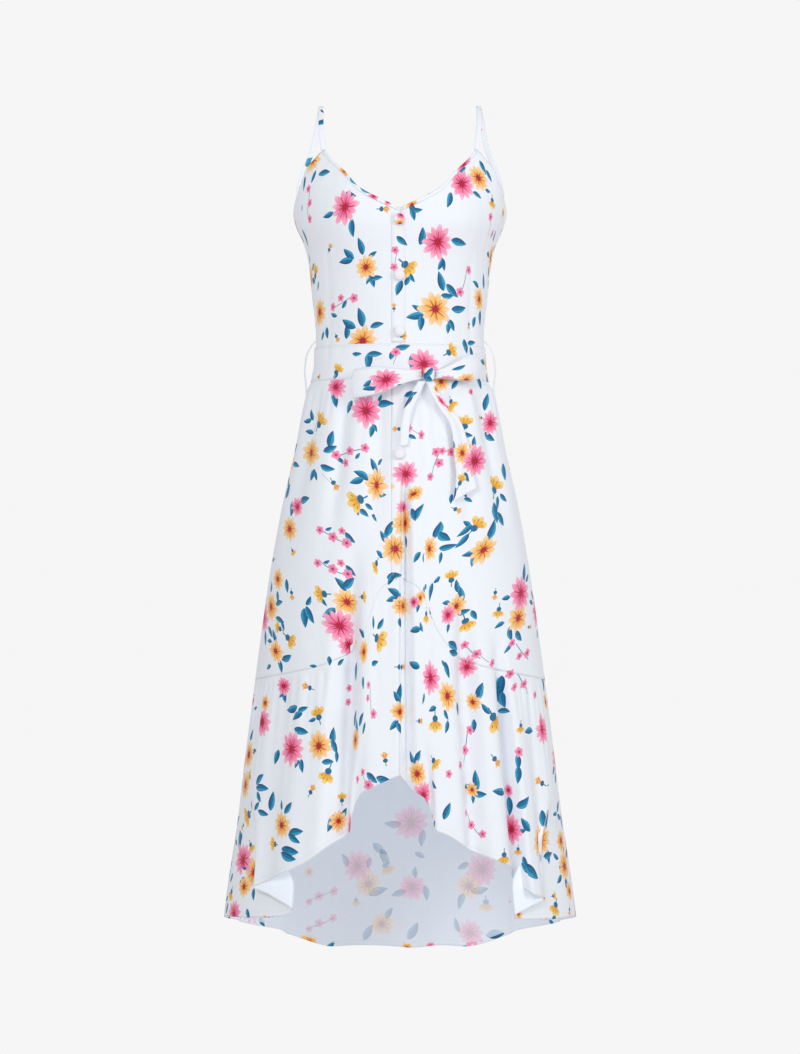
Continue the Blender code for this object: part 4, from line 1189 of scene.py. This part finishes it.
def bowKnot():
    # a wrapped band, with creases that run round it
    v = np.linspace(0.03, 0.97, 34)[:, None] * math.pi
    u = np.linspace(0.0, 2.0 * math.pi, 49)[None, :-1]
    crease = 1.0 - 0.07 * np.abs(np.sin(2.5 * u + 1.2 * np.cos(v))) ** 0.6 * np.sin(v)
    pinch = 1.0 - 0.12 * np.cos(np.cos(v) * math.pi)
    shape = np.stack([pinch * np.sin(v) * np.cos(u) * crease, np.sin(v) * np.sin(u) * crease,
                      np.broadcast_to(np.cos(v), crease.shape)], axis=-1)
    rings = basePoints(knot["across"], knot["height"], knot["lift"]) + shape * knot["half"]
    points = np.concatenate([rings.reshape(-1, 3), [rings[0].mean(axis=0), rings[-1].mean(axis=0)]])
    faces = [face[::-1] for face in tubeFaces(len(v), u.size, fans=True)]
    flat = np.column_stack([points[:, 0] + 0.128, -points[:, 2] - 0.262])
    piece = addPiece("bowKnot", "knot", points, faces, flat, ["tie"])
    layWhole(piece.data, flat, {
        "smallOne": newMotif("leaf", (0.165, 0.150), 0.012, 0.5, 0.4),
        "smallTwo": newMotif("leaf", (0.171, 0.143), 0.009, -0.9, 0.7),
        "daisyOne": newMotif("peach", (0.159, 0.137), 0.009, 0.0, 0.2)})


# Straps and belt loops

strapPrint = [newMotif(*row, 0.35) for row in (
    ("leaf", (0.004, 0.044), 0.008, 1.0), ("leaf", (0.009, 0.052), 0.009, 2.2),
    ("tulip", (0.006, 0.066), 0.008, 0.3), ("leaf", (0.008, 0.077), 0.009, 1.2),
    ("leaf", (0.002, 0.088), 0.008, 2.0), ("blossom", (0.006, 0.098), 0.006, 0.0),
    ("leaf", (0.006, 0.190), 0.009, 1.8))]


def sweptBand(name, node, points, sideways, width, thickness, offset, finish):
    # a narrow rounded band along a path
    turns = np.linspace(0.0, 2.0 * math.pi, 17)[:-1]
    outward = unit(np.cross(sideways, unit(np.gradient(points, axis=0))))
    cosine, sine = np.cos(turns[:, None]), np.sin(turns[:, None])
    flatter = np.sign(cosine) * np.sqrt(np.abs(cosine))
    rings = (points[:, None] + sideways[:, None] * width / 2.0 * flatter
             + outward[:, None] * thickness / 2.0 * sine)
    steps = np.linalg.norm(np.diff(points, axis=0), axis=1)
    along = np.concatenate([[0.0], np.cumsum(steps)])
    flat = np.stack(np.broadcast_arrays(turns * width / math.pi, along[:, None]), axis=-1)
    flat = flat.reshape(-1, 2) + offset
    faces = tubeFaces(len(points), len(turns), fans=False)
    piece = addPiece(name, node, rings.reshape(-1, 3), faces, flat, [finish])
    # one layer of sparse motifs; where two meet, the later one shows
    corners = flat[np.array(faces[:-2])]
    layer = np.full(corners.shape[:2] + (3,), noPlace)
    layer[..., 2] = 0.0
    for motif in strapPrint:
        near = (np.abs(localPlace(corners.mean(axis=1), motif)) < 1.4).all(axis=1)
        layer[near, :, 0:2] = localPlace(corners[near], motif)
        layer[near, :, 2] = motif["code"]
    blank = {label: np.zeros((0, 3)) for label in allLayers}
    writeLayers(piece.data, {**blank, "smallOne": layer.reshape(-1, 3)})


strap = {"width": 0.0078, "thickness": 0.0021, "backAngle": 102.0, "route": [
    (0.1160, -0.0480, -0.0480), (0.1178, -0.0270, -0.0180), (0.118, 0.0, 0.0009), (0.1230, 0.0210, -0.0180),
    (0.1310, 0.0300, -0.0560), (0.1440, 0.0325, -0.0900), (0.1535, 0.0300, -0.1270)]}


def shoulderStraps():
    frontEnd, backEnd = (clothPoints(angle, float(topEdge(angle)) + 0.0004)
                         for angle in (form["apexAngle"], strap["backAngle"]))
    route = np.array([frontEnd, *strap["route"], backEnd])
    steps = np.linspace(0.0, len(route) - 1, 97)
    points = np.stack([curve(steps) for curve in pathCurves(route)], axis=1)
    for _ in range(6):  # round the given route a little
        points[1:-1] = 0.25 * points[:-2] + 0.5 * points[1:-1] + 0.25 * points[2:]
    tangent = unit(np.gradient(points, axis=0))
    sideways = unit(np.array([1.0, 0.0, 0.0]) - tangent * tangent[:, :1])
    for side, name, node, start in (
            (1.0, "strapRight", "strap_right", -0.042), (-1.0, "strapLeft", "strap_left", 0.0)):
        mirror = np.array([side, 1.0, 1.0])
        sweptBand(name, node, points * mirror, sideways * mirror, strap["width"], strap["thickness"],
                  (0.0, start), "outer")


loops = {"width": 0.0040, "thickness": 0.0014, "top": -0.352, "bottom": -0.431, "route": [
    (0.1350, -0.3620), (0.1412, -0.3790), (0.1428, -0.3980), (0.1410, -0.4160)]}


def beltLoops():
    route = np.array([(halfWidthAt(-0.350) + 0.0017, loops["top"]), *loops["route"],
                      (halfWidthAt(loops["bottom"]) - 0.0015, loops["bottom"])])
    steps = np.linspace(0.0, len(route) - 1, 33)
    across, height = (curve(steps) for curve in pathCurves(route))
    for side, name, node in (
            (1.0, "beltLoopRight", "belt_loop_right"), (-1.0, "beltLoopLeft", "belt_loop_left")):
        points = np.stack([side * across, np.zeros(len(steps)), height], axis=1)
        sideways = np.tile([0.55, 0.835 * side, 0.0], (len(steps), 1))
        sweptBand(name, node, points, sideways, loops["width"], loops["thickness"], (0.004, 0.05), "plain")


sashBand()
for settings in bowLoops:
    bowLoop(settings)
for settings in tails:
    tieTail(settings)
bowKnot()
shoulderStraps()
beltLoops()
print("sash, bow, straps and belt loops ready")

buttons = {"radius": 0.0079, "height": 0.0050, "foot": 0.0015, "segments": 40,
           "levels": ((-0.184, 0.0038), (-0.2635, 0.0038), (-0.3445, 0.0038), (-0.5245, 0.0039))}


def coveredButton(number, height, lift):
    angle = math.degrees(math.asin(-0.001 / float(halfWidthAt(height))))
    seat = clothPoints(angle, height, lift, small=False)
    side = unit(clothPoints(angle + 3.0, height) - clothPoints(angle - 3.0, height))
    up = unit(clothPoints(angle, height + 0.008) - clothPoints(angle, height - 0.008))
    outward = unit(np.cross(side, up))
    radius, foot = buttons["radius"], buttons["foot"]
    rise = np.linspace(0.0, 0.5 * math.pi, 11)[1:-1]
    dome = np.column_stack([radius * np.cos(rise) ** 0.8, foot + (buttons["height"] - foot) * np.sin(rise)])
    profile = np.concatenate([[(radius * 0.84, 0.0), (radius * 0.95, 0.0006), (radius, foot)], dome])
    turn = np.linspace(0.0, 2.0 * math.pi, buttons["segments"] + 1)[:-1]
    reach, out = profile[:, :1], profile[:, 1:]
    reach = reach * (1.0 + np.where(out < 0.002, 0.012, 0.0) * np.cos(turn * 10.0))  # gathers of the cover
    rings = (seat + (reach * np.cos(turn))[..., None] * side + (reach * np.sin(turn))[..., None] * up
             + out[..., None] * outward)
    points = np.concatenate([rings.reshape(-1, 3), [seat, seat + outward * buttons["height"]]])
    flat = (points - seat) @ np.stack([side, up], axis=1)
    printed = number == 1
    piece = addPiece(f"coveredButton{number}", f"button_{number}", points,
                     tubeFaces(len(profile), len(turn), fans=True), flat, ["tie" if printed else "button"])
    if printed:
        layWhole(piece.data, flat, {"daisyOne": newMotif("peach", (0.001, -0.007), 0.009, 0.4, 0.3),
                                    "daisyTwo": newMotif("pink", (0.003, 0.006), 0.009, 0.0, 0.6)})


for number, (height, lift) in enumerate(buttons["levels"], 1):
    coveredButton(number, height, lift)
print("buttons ready")

# Studio: a pale floor in a room of the same tone, soft light and the camera

studio = {"tone": 0.915, "bounce": 0.62, "floorHeight": -1.46, "floorRadius": 60.0, "floorSides": 64,
          "roomColour": (0.93, 0.965, 1.0, 1.0), "roomStrength": 0.575, "lensLength": 79.7,
          "boxSize": 1.3, "lightAim": (0.0, 0.0, -0.7)}
softboxes = {"leftSoftbox": ((-1.2, -3.7, 0.9), 45.0), "rightSoftbox": ((2.7, -2.7, 0.3), 38.0),
             "backSoftbox": ((0.9, 3.8, 0.6), 38.0)}


def paleFloor():
    turn = np.linspace(0.0, 2.0 * math.pi, studio["floorSides"] + 1)[:-1]
    points = np.column_stack([studio["floorRadius"] * np.cos(turn), studio["floorRadius"] * np.sin(turn),
                              np.full(len(turn), studio["floorHeight"])])
    mesh = bpy.data.meshes.new("paleFloor")
    mesh.from_pydata(points.tolist(), [], [list(range(len(points)))])
    material, tree, shader = newMaterial("palePaper")
    feed(shader["Base Color"], (0.008, 0.008, 0.008, 1.0))
    feed(shader["Roughness"], 0.95)
    feed(shader["Specular IOR Level"], 0.0)
    feed(shader["Emission Color"], (1.0, 1.0, 1.0, 1.0))
    seen = addNode(tree, "LightPath", {}, "Is Camera Ray")
    feed(shader["Emission Strength"], seen * (studio["tone"] - studio["bounce"]) + studio["bounce"])
    mesh.materials.append(material)
    floor = bpy.data.objects.new("paleFloor", mesh)
    bpy.context.scene.collection.objects.link(floor)


def paleRoom():
    world = bpy.context.scene.world or bpy.data.worlds.new("softRoom")
    bpy.context.scene.world = world
    world.use_nodes = True
    tree = world.node_tree
    light = tree.nodes["Background"]
    feed(light.inputs["Color"], studio["roomColour"])
    feed(light.inputs["Strength"], studio["roomStrength"])
    ground = addNode(tree, "Background", {"Color": (1.0, 1.0, 1.0, 1.0), "Strength": studio["tone"] + 0.005})
    either = addNode(tree, "MixShader", {0: addNode(tree, "LightPath", {}, "Is Camera Ray"),
                                         1: Field(tree, light.outputs[0]), 2: ground})
    feed(tree.nodes["World Output"].inputs["Surface"], either)


def softLight(name, location, power):
    light = bpy.data.lights.new(name, "AREA")
    light.shape = "SQUARE"
    light.size = studio["boxSize"]
    light.energy = power
    lamp = bpy.data.objects.new(name, light)
    lamp.location = location
    x, y, z = np.array(studio["lightAim"]) - location
    tilt, swing = math.atan2(z, math.hypot(x, y)) + math.pi / 2.0, math.atan2(y, x) - math.pi / 2.0
    lamp.rotation_euler = (tilt, 0.0, swing)
    bpy.context.scene.collection.objects.link(lamp)


def studioCamera():
    lens = bpy.data.cameras.new("photoCamera")
    lens.lens = studio["lensLength"]
    lens.sensor_width = 36.0
    lens.sensor_fit = "AUTO"
    camera = bpy.data.objects.new("photoCamera", lens)
    camera.location = cameraPlace
    camera.rotation_euler = (math.radians(90.0), 0.0, 0.0)
    bpy.context.scene.collection.objects.link(camera)
    bpy.context.scene.camera = camera


paleFloor()
paleRoom()
for name, (location, power) in softboxes.items():
    softLight(name, location, power)
studioCamera()
bpy.context.scene.view_settings.view_transform = "Standard"
bpy.context.scene.view_settings.look = "None"
print("studio ready")
